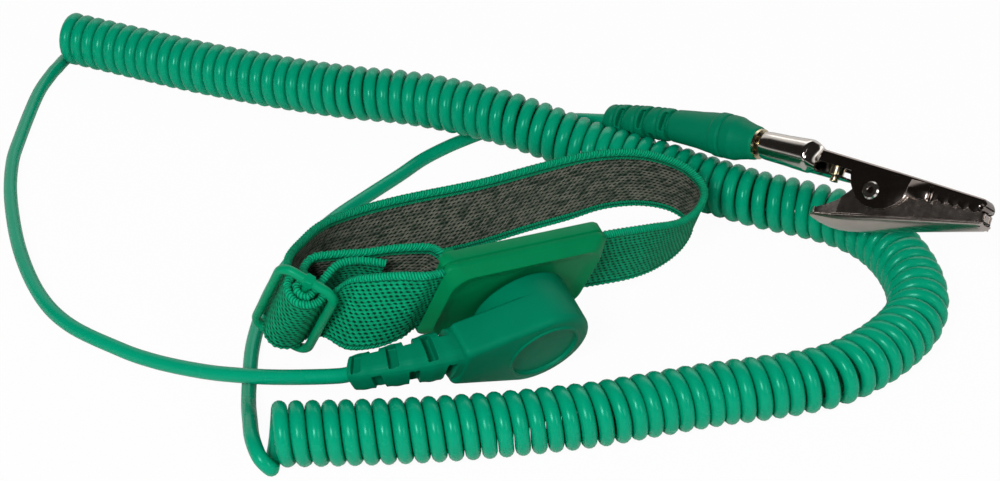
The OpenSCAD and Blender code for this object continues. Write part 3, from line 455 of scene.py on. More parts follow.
# cord, laid from the connector's relief to the boot of the plug
cord = {"radius": 1.5, "coilRadius": 4.8, "pitch": 3.13, "touching": 3.06, "sides": 14, "stepsPerTurn": 26}
wristRoute = [
    (-33, -34.6, 9), (-39.2, -32.8, 7.6), (-44.2, -31.4, 6.8),
    (-51.5, -28.1, 5), (-58.9, -24, 3.3), (-65.4, -20.3, 2.3), (-72, -16, 1.7), (-83.4, -7.6, 1.5),
    (-91.3, 2.9, 1.5), (-98.5, 19.5, 1.5), (-104, 39, 1.5), (-106.5, 54, 1.5), (-106.8, 65, 1.5),
    (-106.2, 85, 1.5), (-104.6, 95, 1.5), (-103.6, 98.6, 1.5)]
clipRoute = [
    (-38.7, -53.3, 2.1), (-40.6, -52.6, 4.1), (-42.3, -48.4, 5.1),
    (-43.4, -42, 4.2), (-44.6, -33.5, 2), (-45.3, -24, 1.5), (-45.6, -16, 1.5), (-45.2, -8, 1.5),
    (-44, 2, 1.5), (-41.5, 12, 1.5), (-37, 23, 1.5), (-32, 32, 1.5), (-26, 40, 1.5), (-18.5, 49.5, 1.5),
    (-14, 55.6, 1.5), (-9.7, 60.1, 1.5), (-5.2, 64, 1.5), (1, 68.4, 1.5), (7.5, 70.9, 1.6), (14.5, 69.9, 3),
    (20.6, 66.8, 5.7)]
coilRoute = [
    (-101.4, 105, 6.3), (-85.5, 97.8, 6.4), (-71, 90.7, 6.8), (-57, 84.3, 7.4), (-42.8, 78.4, 8.1),
    (-30, 73.6, 8.9), (-19, 70.6, 9.5), (-9.8, 67.3, 9.8), (-0.6, 63.3, 9.9), (8.5, 59.1, 9.5),
    (17.5, 55.1, 8.1), (26.2, 51.3, 6.6), (38.3, 45.2, 6.3), (49.6, 38.1, 6.3), (60.2, 32.1, 6.3),
    (72.2, 27, 6.3), (80, 21.8, 6.3), (85.2, 14.7, 6.3), (88.3, 5, 6.3), (88.8, -4.8, 6.3),
    (86.4, -13, 6.3), (80.5, -21, 6.3), (73, -27.6, 6.3), (65.5, -31.6, 6.3), (55, -34.4, 6.3),
    (45, -36.4, 6.3), (33, -39.6, 6.3), (21.9, -42.6, 6.3), (7, -45.2, 6.3), (-8, -47, 6.3),
    (-23, -48, 6.3), (-38.4, -48.5, 6.3)]
relief = {"start": Vector((-19.4, -8.5, 0)), "length": 20.8, "out": Vector((-1, 0, 0)),
          "tipWay": Vector((-0.64, 0.42, -0.64)).normalized(), "baseWidth": 9.0, "tipWidth": 6.0,
          "waist": 0.02, "square": 3.4, "sides": 28, "slots": 6, "slotWidth": 2.0}
boot = {"length": 43, "ribs": 6, "ribsEnd": 23.0, "flange": -10.7, "radius": 4.9, "voxel": 0.17, "passes": 3,
        "slotHalf": 0.65, "slotWide": 2.1, "slotOut": 6}
sag = {"from": 8.0, "drop": 3.4, "shorter": 2.2}


def reliefPoint(t):
    bend = t * t / 2
    return relief["start"] + relief["length"] * ((t - bend) * relief["out"] + bend * relief["tipWay"])


def reliefAhead(t):
    return ((1 - t) * relief["out"] + t * relief["tipWay"]).normalized()


def coilLine(axis):  # the helix round a smooth axis, its turns just clear of one another
    marks, last = pathMarks(axis), len(axis) - 1
    turns, phases = 0.0, [0.0]
    for i in range(1, last + 1):
        before, after = max(i - 3, 0), min(i + 3, last)
        bend = ahead(axis, before).angle(ahead(axis, after)) / max(marks[after] - marks[before], 1e-6)
        pitch = max(cord["pitch"], cord["touching"] / max(0.4, 1 - cord["coilRadius"] * bend))
        turns += (marks[i] - marks[i - 1]) / pitch
        phases.append(turns)
    count = round(turns)
    phases = [p * count / turns for p in phases]
    line, k = [], 0
    for step in range(count * cord["stepsPerTurn"] + 1):
        phase = step / cord["stepsPerTurn"]
        while k < len(phases) - 2 and phases[k + 1] < phase:
            k += 1
        t = min((phase - phases[k]) / max(phases[k + 1] - phases[k], 1e-9), 1)
        way = ahead(axis, k).lerp(ahead(axis, k + 1), t).normalized()
        side = way.cross(up).normalized()
        x, y = polar(cord["coilRadius"], math.tau * phase)
        line.append(axis[k].lerp(axis[k + 1], t) - x * side.cross(way) - y * side)
    print("coil has", count, "turns")
    return line


def sagged(p):  # the soft boot bends down towards its tail
    along = -(clipFrame.inverted() @ (tableFrame @ p)).x
    t = max(0, along - sag["from"]) / (boot["length"] - sag["from"])
    return p - up * sag["drop"] * t * t + plugWay * sag["shorter"] * t * t


def tubeAlong(name, path, radius, sides, materials):
    verts, faces = [], []
    out = up.cross(ahead(path, 0)).normalized()
    for i, p in enumerate(path):
        way = ahead(path, i)
        out = (out - out.dot(way) * way).normalized()
        other = way.cross(out)
        verts += [p + c * out + s * other for c, s in circle(sides, radius)]
    for i in range(len(path) - 1):
        for j in range(sides):
            a, b = i * sides + j, i * sides + (j + 1) % sides
            faces.append((a, b, b + sides, a + sides))
    faces.append(tuple(range(sides))[::-1])
    faces.append(tuple(range(len(path) * sides - sides, len(path) * sides)))
    return newPiece(name, verts, faces, tableFrame, materials)


helix = coilLine(evenly(smoothCurve([Vector(p) for p in coilRoute], 12), 0.8)[0])
wayIn = (helix[1] - helix[0]).normalized()
wayOut = (helix[-1] - helix[-2]).normalized()
reliefTip = onTable(plateFrame, reliefPoint(1))
reliefWay = wayOf(plateFrame, relief["tipWay"])
plugWay = wayOf(clipFrame, (1, 0, 0))
bootEnd = sagged(onTable(clipFrame, (-boot["length"], 0, 0)))
bootWay = (sagged(onTable(clipFrame, (2 - boot["length"], 0, 0))) - bootEnd).normalized()
straight = 2 * cord["radius"]  # each end of a lead leaves straight for one diameter
wristLead = smoothCurve([reliefTip, reliefTip + straight * reliefWay] + [Vector(p) for p in wristRoute]
                        + [helix[0] - straight * wayIn, helix[0]], 8)
clipLead = smoothCurve([helix[-1], helix[-1] + straight * wayOut] + [Vector(p) for p in clipRoute]
                       + [bootEnd - straight * bootWay, bootEnd], 8)
cordPath = wristLead[:-1] + helix + clipLead[1:]
cordPiece = tubeAlong("curlyCord", cordPath, cord["radius"], cord["sides"], [cordFinish])
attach(cordPiece, "cord_set")
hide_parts("lead_wrist", "curly_cord", "lead_clip")
print("cord made")

# strap, from the plate round the wrist, through the slider, round the plate's bar and back
strap = {"width": 18.0, "faceHalf": 0.58, "bead": 0.78, "beadWide": 1.35, "ribWide": 1.3, "step": 0.24,
         "ribDepth": 0.12, "picot": 1.1, "z": 3.0, "wrapR": 2.15, "innerR": 1.65, "outerR": 3.45}
bar = {"x": -17.2, "y": 4.7, "radius": 1.3, "foot": 1.6, "end": 1.5, "half": 9.2, "sides": 28}
plateUp = wayOf(plateFrame, (0, 0, 1))
sliderUp = wayOf(sliderFrame, (0, 0, 1))
innerR, outerR = strap["innerR"], strap["outerR"]


def plateStop(x, y):
    return onTable(plateFrame, (x, y, strap["z"])), plateUp


def sliderStop(x, y):
    return onTable(sliderFrame, (x, y, 0)), sliderUp


def wrapStop(a):
    x, y = polar(strap["wrapR"], math.radians(a - 90))
    return plateStop(bar["x"] + x, bar["y"] + y)


# each station is a point of the middle line and the way across the strap
stations = [
    plateStop(13.4, 3), plateStop(16.5, 3), plateStop(20, 3.1),
    ((32.9, 2.2, 13), (0.2, -0.32, 0.92)), ((39.5, 9.5, 10.4), (0.16, -0.44, 0.88)),
    ((44.1, 17, 9.4), (0.13, -0.5, 0.85)), ((45.9, 24.5, 9.6), (0.11, -0.5, 0.86)),
    ((42.3, 30.4, 10.3), (0.12, -0.42, 0.9)), ((35.6, 33.8, 10.4), (0.14, -0.32, 0.93)),
    ((27.9, 34.4, 9.9), (0.19, -0.2, 0.96)), ((20, 32, 9.5), (0.18, -0.06, 0.98)),
    ((11, 28.3, 9.1), (0.18, -0.04, 0.98)), ((-2, 21.4, 9.2), (0.19, 0, 0.98)),
    ((-18, 15.4, 9.2), (0.18, -0.02, 0.98)), ((-29.3, 8.4, 10.6), (0.22, -0.1, 0.97)),
    ((-34.4, 1.6, 12.7), (0.25, -0.17, 0.95)), ((-37.6, -6.8, 14.9), (0.27, -0.25, 0.93)),
    ((-39.2, -14.1, 17.5), (0.3, -0.32, 0.9)), ((-39.3, -20, 19.6), (0.32, -0.38, 0.87)),
    sliderStop(-outerR - 0.2, 0.6), sliderStop(-outerR + 0.1, -1), sliderStop(-2.2, -outerR + 0.8),
    sliderStop(0, -outerR - 0.1), sliderStop(2.2, -outerR + 0.8), sliderStop(outerR, -1),
    sliderStop(outerR + 0.4, 0.6), sliderStop(outerR + 1.4, 2),
    ((-27.3, -26.1, 19.1), (0.3, -0.24, 0.92)), ((-23.1, -28, 19.5), (0.25, 0, 0.97)),
    ((-17.7, -28.6, 20.4), (0.25, 0, 0.97)), ((-13, -27.6, 20.7), (0.29, -0.15, 0.94)),
    plateStop(-20.6, 2.4), wrapStop(0), wrapStop(45), wrapStop(90), wrapStop(135), wrapStop(180),
    ((-12.3, -17.3, 21.2), (0.32, -0.26, 0.91)), ((-18.7, -16.4, 20.6), (0.32, -0.29, 0.9)),
    ((-24.2, -16, 19.7), (0.32, -0.32, 0.89)), ((-30.2, -15.2, 19), (0.32, -0.36, 0.88)),
    ((-34.7, -15, 18.2), (0.32, -0.38, 0.87)), ((-36.4, -18.5, 18), (0.32, -0.39, 0.86)),
    sliderStop(-1, 2.2), sliderStop(-innerR, 0), sliderStop(-1.2, -1.2), sliderStop(0, -innerR),
    sliderStop(1.2, -1.2), sliderStop(innerR, 0.4),
    ((-32.2, -22.4, 18.4), (0.32, -0.39, 0.86)), ((-29.6, -19.4, 19.5), (0.32, -0.36, 0.87)),
    ((-25.6, -18.4, 19.6), (0.32, -0.35, 0.88)), ((-20.6, -18.7, 18.9), (0.32, -0.32, 0.89))]


def strapSection():  # points of (across, out) and whether the strip to the next one is lining
    half, bead = strap["width"] / 2, strap["bead"]
    flat = half - strap["beadWide"]
    beadArc = [polar(bead, math.radians(a)) for a in (100, 70, 35, 0, -35, -70, -100)]
    points = [(-flat + 2 * flat * i / 10, strap["faceHalf"], False) for i in range(11)]
    points += [(half - bead + x, y, False) for x, y in beadArc]
    points += [(flat - 2 * flat * i / 10, -strap["faceHalf"], True) for i in range(11)]
    points += [(-half + bead - x, -y, False) for x, y in beadArc]
    return points


def makeStrap():
    centres = smoothCurve([Vector(s[0]) for s in stations], 10)
    widths = smoothCurve([Vector(s[1]) for s in stations], 10)
    path, across = evenly(centres, strap["step"], (widths,))
    section, marks = strapSection(), pathMarks(path)
    n, verts, faces, uvs, slots = len(section), [], [], [], []
    for i, p in enumerate(path):
        side = across[i].normalized()
        out = ahead(path, i).cross(side).normalized()
        wave = strap["ribDepth"] * math.sin(math.tau * marks[i] / strap["picot"])
        for w, h, lining in section:
            rib = wave if abs(w) > strap["width"] / 2 - strap["ribWide"] else 0
            verts.append(p + side * (w + math.copysign(rib, w)) + out * h * (1 + rib / strap["bead"]))
    for i in range(len(path) - 1):
        for j in range(n):
            k = (j + 1) % n
            faces.append((i * n + j, i * n + k, (i + 1) * n + k, (i + 1) * n + j))
            a, b = marks[i], marks[i + 1]
            wj, wk = section[j][0], section[k][0]
            uvs.append(((a, wj), (a, wk), (b, wk), (b, wj)))
            slots.append(1 if section[j][2] and section[k][2] else 0)
    last = (len(path) - 1) * n
    for cap in (tuple(range(n))[::-1], tuple(range(last, last + n))):
        faces.append(cap)
        uvs.append(tuple((0.0, section[v % n][0]) for v in cap))
        slots.append(0)
    print("strap is", round(marks[-1]), "mm long")
    return newPiece("wovenStrap", verts, faces, tableFrame, [outerWeave, innerWeave], uvs, slots, sharp=60)


strapPiece = makeStrap()
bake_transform(strapPiece)
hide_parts("webbing")

# plate housing, its thickness along y
plate = {"middleX": -0.8, "length": 38.0, "height": 21.6, "depth": 5.4, "rim": 0.7, "fit": 0.3}


def makePlate():
    rim, depth = plate["rim"], plate["depth"]
    profile = [  # y, how far the outline draws in, corner radius
        (depth, 0.45, 2.4), (depth - 0.1, 0.15, 2.6), (depth - 0.4, 0, 2.6), (3.15, 0, 2.6), (3.05, 0.1, 2.6),
        (3.0, 0.3, 2.6), (2.6, 0.3, 2.6), (2.55, 0.1, 2.6), (2.45, 0, 2.6), (1.6, 0, 2.6), (1.4, 0.06, 2.7),
        (1.2, 0.2, 2.8), (-rim + 0.3, 1.35, 3.9), (-rim + 0.12, 1.48, 4.1), (-rim + 0.02, 1.62, 4.2),
        (-rim, 1.72, 4.2), (-rim + 0.05, 1.9, 4.2), (-rim + 0.18, 2.2, 4.3), (-0.12, 3.5, 4.4),
        (0.02, 4.1, 4.2), (0.05, 4.8, 3.6), (0.05, 6.2, 3)]
    bm = bmesh.new()
    loft(bm, [[Vector((plate["middleX"] + x, y, strap["z"] + z)) for x, z in
               roundedOutline(plate["length"] / 2 - inset, plate["height"] / 2 - inset, r, 10)]
              for y, inset, r in profile])
    piece = bmPiece("plateHousing", bm, plateFrame, [plateFinish], 30)
    cuts = bmesh.new()
    low, high = [strap["z"] + s * (strap["width"] / 2 + plate["fit"]) for s in (-1, 1)]
    block(cuts, (-25, 1.5, low), (bar["x"] + 3.2, 8, high))  # room round the bar
    block(cuts, (12, 2.15, low), (25, 3.85, high))  # pocket for the fixed end
    cutAway(piece, bmPiece("plateCut", cuts, plateFrame, []))
    return bevelled(piece, 0.12, 50)


def makeBar():
    half, foot = bar["half"], bar["foot"]
    end = [(half, bar["radius"]), (half + 0.15, foot), (half + 1.2, bar["end"])]
    bm = bmesh.new()
    turned(bm, [(-z, r) for z, r in end[::-1]] + end, "z", bar["sides"], (bar["x"], bar["y"], strap["z"]))
    return bmPiece("plateBar", bm, plateFrame, [plateFinish], 50)


platePiece, plateBar = makePlate(), makeBar()
for piece in (platePiece, plateBar):
    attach(piece, "wristband")
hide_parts("plate_housing")
print("plate made")

# connector, with its slotted relief
connector = {"puckR": 10.2, "back": -1.1, "front": -13.0, "neckBack": -5.5, "neckLength": 19.4,
             "neckHeight": 11.0, "edge": 1.5, "corner": 1.2, "medallionR": 7.4, "voxel": 0.14, "passes": 3}


def connectorOutline(inset):  # hull of the round end and the neck's rounded corners
    r, half = connector["puckR"] - inset, connector["neckHeight"] / 2 - inset
    end, tip = connector["neckLength"] - inset, connector["corner"] - inset * 0.5
    cx, cz = tip - end, half - tip
    lean = math.atan2(cz, cx) - math.acos((r - tip) / math.hypot(cx, cz))
    upper = [polar(r, lean * i / 48) for i in range(49)]
    corner = [polar(tip, lean + (math.pi - lean) * i / 7) for i in range(8)]
    corner = [(cx + x, cz + z) for x, z in corner]
    turn = math.atan2(corner[0][1], corner[0][0]) - lean
    upper += [polar(r / math.cos(turn * i / 18), lean + turn * i / 18) for i in range(1, 18)] + corner
    rest = math.pi - math.atan2(corner[-1][1], corner[-1][0])
    upper += [(-end, end * math.tan(rest - rest * i / 5)) for i in range(1, 6)]
    return upper + [(x, -z) for x, z in upper[-2:0:-1]]


def makeShell():
    front, edge, back, neck = (connector[key] for key in ("front", "edge", "back", "neckBack"))
    rings = [(neck + 0.25, 0.3), (neck, 0.05), (neck - 0.3, 0.0)]
    rings += [(front + edge + 2, 0.0), (front + edge, 0.0)]
    for a in range(15, 105, 15):
        x, y = polar(edge, math.radians(a))
        rings.append((front + edge - y, edge - x))
    rows = [[Vector((x, y, z)) for x, z in connectorOutline(inset)] for y, inset in rings]
    angles = [math.atan2(p.z, p.x) for p in rows[-1]]
    r = connector["medallionR"]
    medallion = [(0.3, 0), (0.2, -0.05), (0.12, -0.28), (-0.02, -0.36), (-0.24, -0.36), (-0.38, -0.28),
                 (-0.46, 0.2), (-0.54, 0.34), (-0.8, 0.38), (3 - r, 0.34)]  # a raised ring round a blank face
    for wider, y in medallion:
        rows.append([Vector((x, front + y, z)) for x, z in (polar(r + wider, a) for a in angles)])
    bm = bmesh.new()
    loft(bm, rows)
    r = connector["puckR"]
    puck = [(neck - 3, r - 0.02), (back - 0.6, r - 0.02), (back - 0.2, r - 0.18), (back, r - 0.6)]
    turned(bm, puck, "y", 96)
    return bmPiece("connectorShell", bm, plateFrame, [mouldFinish], 50)


def reliefPlace(t):  # axes and half width at a share of the relief's length
    way = reliefAhead(max(0, t))
    side = up.cross(way).normalized()
    return way, side, way.cross(side), (relief["baseWidth"] * (1 - t) + relief["tipWidth"] * t) / 2


def makeRelief():
    bm, cuts, rows = bmesh.new(), bmesh.new(), []
    for i in range(-2, 49):
        t = i / 48
        way, side, lift, half = reliefPlace(t)
        half *= 1 - relief["waist"] * (1 + math.cos(math.tau * t * relief["slots"]))
        ring = []
        for c, s in circle(relief["sides"]):  # rounded square
            wide = half * (abs(c) ** relief["square"] + abs(s) ** relief["square"]) ** (-1 / relief["square"])
            ring.append(reliefPoint(t) + wide * (0.97 * c * side + s * lift))
        rows.append(ring)
    loft(bm, rows)
    piece = bmPiece("reliefStem", bm, plateFrame, [])
    w, web = relief["slotWidth"] / 2, cord["radius"] + 0.15
    for i in range(relief["slots"]):
        t = (i + 0.5) / relief["slots"]
        way, side, lift, half = reliefPlace(t)
        place = Matrix.Translation(reliefPoint(t)) @ Matrix((way, side, lift)).transposed().to_4x4()
        if i % 2:  # pockets in the top and the bottom
            block(cuts, (-w, -0.7 * half, web), (w, 0.7 * half, 2 * half), place)
            block(cuts, (-w, -0.7 * half, -2 * half), (w, 0.7 * half, -web), place)
        else:  # notches in the front and the back, each open at one end
            block(cuts, (-w, web, -2 * half), (w, 2 * half, 0.5 * half), place)
            block(cuts, (-w, -2 * half, -0.5 * half), (w, -web, 2 * half), place)
    cutAway(piece, bmPiece("reliefCut", cuts, plateFrame, []))
    moulded(piece, connector["voxel"], connector["passes"])
    return piece


def makeConnector():
    piece, stem = makeShell(), makeRelief()
    joined = bmesh.new()
    joined.from_mesh(piece.data)
    joined.from_mesh(stem.data)
    joined.to_mesh(piece.data)
    joined.free()
    bpy.data.objects.remove(stem)
    takeMaterial(piece, mouldFinish)
    shade(piece, 50)
    return piece


connectorPiece = makeConnector()
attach(connectorPiece, "cord_set")
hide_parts("connector_shell")
print("connector made")

# slider
slider = {"length": 13.8, "height": 24.6, "bar": 1.0, "flat": 0.95, "corner": 2.6, "sides": 16,
          "centreBar": 0.8, "lugX": 0.9, "lugY": 1.05, "voxel": 0.16, "passes": 4}


def makeSlider():
    w, h = slider["length"] / 2 - slider["bar"], slider["height"] / 2 - slider["bar"]
    loop = [Vector((x, 0, z)) for x, z in roundedOutline(w, h, slider["corner"], 8)]
    bm, deep, rows = bmesh.new(), Vector((0, 1, 0)), []
    for i, p in enumerate(loop):
        out = (loop[(i + 1) % len(loop)] - loop[i - 1]).normalized().cross(deep)
        rows.append([bm.verts.new(p + slider["flat"] * c * out + s * deep)
                     for c, s in circle(slider["sides"], slider["bar"])])
    for a, b in zip(rows, rows[1:] + rows[:1]):
        for j in range(slider["sides"]):
            k = (j + 1) % slider["sides"]
            bm.faces.new((a[j], a[k], b[k], b[j]))
    turned(bm, [(-h, slider["centreBar"]), (h, slider["centreBar"])], "z", slider["sides"])
    x, y = slider["lugX"], slider["lugY"]
    for z in (-h, h):  # the centre bar's ends thicken into the frame
        block(bm, (-x, -y, z - y), (x, y, z + y))
    piece = bmPiece("sliderFrame", bm, sliderFrame, [sliderFinish])
    moulded(piece, slider["voxel"], slider["passes"])
    takeMaterial(piece, sliderFinish)
    return piece


sliderPiece = makeSlider()
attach(sliderPiece, "slider")
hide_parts("slider_buckle")
print("slider made")


# boot of the banana plug, and the conductor in it
def makeBoot():
    f, r, ribsEnd, length = boot["flange"], boot["radius"], boot["ribsEnd"], boot["length"]
    pitch, ribR, rootR = (length - ribsEnd) / boot["ribs"], r * 0.76, r * 0.55
    profile = []
    for i in range(boot["ribs"] // 2):
        x = -length + 2 * i * pitch
        profile += [(x, ribR - 0.5), (x + 0.3, ribR - 0.1), (x + 0.8, ribR), (x + pitch - 0.6, ribR),
                    (x + pitch - 0.1, ribR - 0.45), (x + pitch + 0.4, ribR)]
        x += 2 * pitch
        profile += [(x - 1.4, ribR), (x - 0.9, ribR - 0.2), (x - 0.7, rootR), (x - 0.05, rootR)]
    profile += [(-ribsEnd, ribR - 0.5), (-ribsEnd + 0.5, ribR - 0.1), (-19, ribR + 0.15), (f - 5, r - 0.8),
                (f - 2.6, r - 0.5), (f - 0.5, r - 0.3), (f, r - 0.25), (f + 0.25, r), (f + 2.1, r),
                (f + 2.35, r - 0.4), (f + 2.7, r - 0.35), (f + 2.9, r - 0.05), (f + 5, r - 0.1),
                (f + 6.2, r - 0.5), (-2.4, 3.9), (-0.7, 3.65), (-0.2, 3.35)]
    bm, cuts = bmesh.new(), bmesh.new()
    turned(bm, profile, "x", 64)
    piece = bmPiece("plugBoot", bm, clipFrame, [mouldFinish])
    w, wide, deep = boot["slotHalf"], boot["slotWide"], cord["radius"] + 0.4
    for i in range(boot["ribs"]):  # slots that change sides from rib to rib
        x = -length + i * pitch + pitch / 2 + 0.1
        for s in (-1, 1):
            low, high = sorted((s * deep, s * boot["slotOut"]))
            if i % 2:
                block(cuts, (x - w, low, -wide), (x + w, high, wide))
            else:
                block(cuts, (x - w, -wide, low), (x + w, wide, high))
    cutAway(piece, bmPiece("bootCut", cuts, clipFrame, []))
    moulded(piece, boot["voxel"], boot["passes"])
    for v in piece.data.vertices:
        v.co = tableFrame @ sagged(fromTable @ v.co)
    piece.data.update()
    takeMaterial(piece, mouldFinish)
    return piece


conductor = {"radius": 0.5, "pinCrimp": 17, "sides": 10}
coreSpan = range(1 - boot["length"], 1 - conductor["pinCrimp"], 2)
corePath = [sagged(onTable(clipFrame, (x, 0, 0))) for x in coreSpan]
corePiece = tubeAlong("coreClip", corePath, conductor["radius"], conductor["sides"], [copperFinish])
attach(corePiece, "cord_set")
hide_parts("core_clip")
bootPiece = makeBoot()
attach(bootPiece, "cord_set")
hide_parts("plug_boot")
print("boot made")

# lower jaw of the clip, with its thumb lever
jaw = {"tip": 17.8, "nose": 56.3, "earEnd": 36.0, "half": 3.9, "noseHalf": 2.3, "inset": 0.75, "sheet": 0.45,
       "creaseAtZero": -15.7, "creaseSlope": 0.1915, "creaseDrop": 0.2, "teethFrom": 54.9, "pitch": 2.1,
       "teeth": 4, "toothRoot": -2.85, "toothTip": -2.05, "rivet": (31.3, -4.4), "rivetRim": 2.7}


def widthAt(clipPart, x):  # half width, tapering from the ears to the nose
    taper = max(0, x - clipPart["earEnd"]) / (clipPart["nose"] - clipPart["earEnd"])
    return clipPart["half"] - (clipPart["half"] - clipPart["noseHalf"]) * taper


def jawEdges():
    rimArc = [polar(jaw["rivetRim"], math.radians(a)) for a in range(160, 30, -10)]
    teeth = []
    for i in range(jaw["teeth"], 0, -1):
        x = jaw["teethFrom"] - i * jaw["pitch"]
        teeth += [(x, jaw["toothRoot"]), (x + jaw["pitch"] / 2, jaw["toothTip"])]
    top = [(jaw["tip"], -11.6), (18.2, -10.9), (18.8, -10.5), (20.4, -10.4), (22, -9.6), (24.2, -7.9),
           (27, -4.6)]
    top += [(jaw["rivet"][0] + x, jaw["rivet"][1] + z) for x, z in rimArc] + [(35, -3.6), (43, -3.5)] + teeth
    top += [(jaw["teethFrom"], jaw["toothRoot"]), (55.5, -3.1), (jaw["nose"], -3.1)]
    bottom = [(jaw["tip"], -11.9), (18.1, -12.3), (18.7, -12.65), (19.2, -12.85), (20.4, -13.15),
              (21.8, -13.4), (23.4, -13.5), (24.8, -13.5), (27, -13.3), (29.2, -12.9), (55.6, -6.5),
              (56.1, -6.2), (jaw["nose"], -5.8)]
    return top, bottom


def jawRing(x, top, bottom):
    wide = widthAt(jaw, x) * math.sqrt(min(1, (x - jaw["tip"] + 0.35) / 2.6))
    narrow = wide - jaw["inset"] * min(1, max(0, x - 21) / 4)
    low, t, drop = interpolate(bottom, x), jaw["sheet"], jaw["creaseDrop"]
    crease = max(jaw["creaseAtZero"] + jaw["creaseSlope"] * x, low + 0.25)
    high = max(interpolate(top, x), crease + 0.2)
    outer = [(narrow, high), (narrow, (high + crease) / 2), (narrow, crease + 0.12), (narrow + 0.1, crease),
             (wide - 0.12, crease - 0.06), (wide, crease - drop)]
    belly = [polar(1, math.radians(10 * k)) for k in range(1, 10)]
    outer += [(wide * c, crease - drop - (crease - drop - low) * s) for c, s in belly]
    inner = []
    for k, (y, z) in enumerate(outer):
        y = max(0.0, y - t) if z > crease - 0.3 else y * (1 - t / wide)
        inner.append((y, min(z + (t if k > 3 else 0), high)))
    inner[-1] = (0.0, min(low + t, high))
    outer[-1] = (0.0, low)
    ring = outer + [(-y, z) for y, z in outer[-2::-1]]
    ring += [(-y, z) for y, z in inner] + inner[-2::-1]
    return [Vector((x, y, z)) for y, z in ring]


def makeLowerJaw():
    top, bottom = jawEdges()
    xs = sorted({round(p[0], 3) for p in top + bottom} | {18.2 + 0.6 * i for i in range(66)} | {17.9, 18})
    bm = bmesh.new()
    loft(bm, [jawRing(x, top, bottom) for x in xs if jaw["tip"] <= x <= jaw["nose"]])
    block(bm, (jaw["nose"] - 0.75, -2, -6), (jaw["nose"] - 0.15, 2, -3.15))  # end wall of the nose
    return bmPiece("lowerJaw", bm, clipFrame, [lowerFinish], 35)


jawPiece = makeLowerJaw()
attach(jawPiece, "jaw")
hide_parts("lower_jaw")
print("lower jaw made")

# upper jaw of the clip: barrel, channel with ears, and screw
upper = {"sheet": 0.45, "mouth": 1.5, "barrelEnd": 13.2, "channelFrom": 17.6, "nose": 56.1, "earEnd": 36.0,
         "half": 3.9, "noseHalf": 2.3, "topFrom": 1.7, "topTo": -0.3, "topLength": 38.6, "corner": 0.7,
         "sides": 56, "tongueEnd": 24.5, "tabFrom": 39.4, "tabTo": 44.2, "teethFrom": 45.0, "teeth": 4,
         "toothPitch": 2.247, "toothRoot": -3.6, "toothTip": -2.75, "bevel": 0.13}
barrel = {"openFrom": 16.2, "openAbove": -3.15, "saddleTo": 18.2, "saddleAbove": -1.0, "tongueFrom": 20,
          "tongueHalf": 3.4, "tongueTaper": 0.4, "flatTop": 1.6, "square": 0.55, "pinch": 0.8}
noseRoll = {"x": 55.4, "z": -2.1, "radius": 0.7, "half": 2.45}
screw = {"x": 20.6, "y": -0.9, "head": (1.65, -2.95, -0.65), "shank": (0.9, -4.2, -2.9)}


def neckRing(x):  # the sheet's outside between the round barrel and the channel
    start, end = upper["barrelEnd"], upper["channelFrom"]
    t = min(1, max(0, (x - start) / (end - start)))
    s = t * t * (3 - 2 * t)
    bulge = interpolate([(1.5, 2.95), (2.4, 3.08), (7, 3.25), (12.2, 3.58), (12.9, 3.6), (13.2, 3.52),
                         (13.6, 3.4)], x)
    top, bottom = bulge + (barrel["flatTop"] - bulge) * s, -bulge
    half, square = bulge + (3.8 - bulge) * s, barrel["square"] * s
    pinch = barrel["pinch"] * math.sin(math.pi * min(1, t * 1.1)) if t < 0.9 else 0
    ring = []
    for c, u in circle(upper["sides"], shift=0.5):
        m = max(abs(c), abs(u)) ** square
        narrow = 1 - pinch * max(0, (u + 0.5) / 1.5)
        ring.append(Vector((x, half * c / m * narrow, (top + bottom) / 2 + (top - bottom) / 2 * u / m)))
    return ring


def cutOut(p):  # where the rolled sheet is cut open for the channel and the tongue
    aside = abs(p.y) > barrel["tongueHalf"] - (p.x - barrel["tongueFrom"]) * barrel["tongueTaper"]
    opened = p.x > barrel["openFrom"] and p.z > barrel["openAbove"] or p.x > barrel["tongueFrom"] and aside
    return opened and not (p.x < barrel["saddleTo"] and p.z > barrel["saddleAbove"])


def makeBarrel():
    bm, n = bmesh.new(), upper["sides"]
    xs = [upper["mouth"], 1.7, 2.4, 4, 7, 10, 12.2, 12.6, 12.9, 13.2, 13.4]
    xs += [13.6 + 0.4 * i for i in range(28)]
    rows = [[bm.verts.new(p) for p in neckRing(x)] for x in xs if x <= upper["tongueEnd"]]
    for a, b in zip(rows, rows[1:]):
        for j in range(n):
            if not cutOut(a[j].co):
                k = (j + 1) % n
                bm.faces.new((a[j], a[k], b[k], b[j]))
    bmesh.ops.delete(bm, geom=[v for v in bm.verts if not v.link_faces], context="VERTS")
    piece = bmPiece("clipBarrel", bm, clipFrame, [nickelFinish], 50)
    wall = piece.modifiers.new("wall", "SOLIDIFY")
    wall.thickness, wall.offset = upper["sheet"] * mm, -1
    return settle(piece, 50)


def channelRing(x, low):
    wide, bottom = widthAt(upper, x), interpolate(low, x)
    slope = (upper["topTo"] - upper["topFrom"]) / upper["topLength"]
    top = upper["topFrom"] + slope * (x - upper["channelFrom"])
    top -= 0.9 * max(0, (x - upper["nose"] + 1.1) / 1.1) ** 2
    r, sides = upper["corner"], []
    for t in (0, upper["sheet"]):  # outside and inside
        corner = [polar(r - t, math.radians(15 * k)) for k in range(7)]
        sides.append([(wide - t, bottom), (wide - t, (bottom + top) / 2)]
                     + [(wide - r + y, top - r + z) for y, z in corner])
    half, inner = sides
    ring = half + [(-y, z) for y, z in half[::-1]] + [(-y, z) for y, z in inner] + inner[::-1]
    return [Vector((x, y, z)) for y, z in ring]


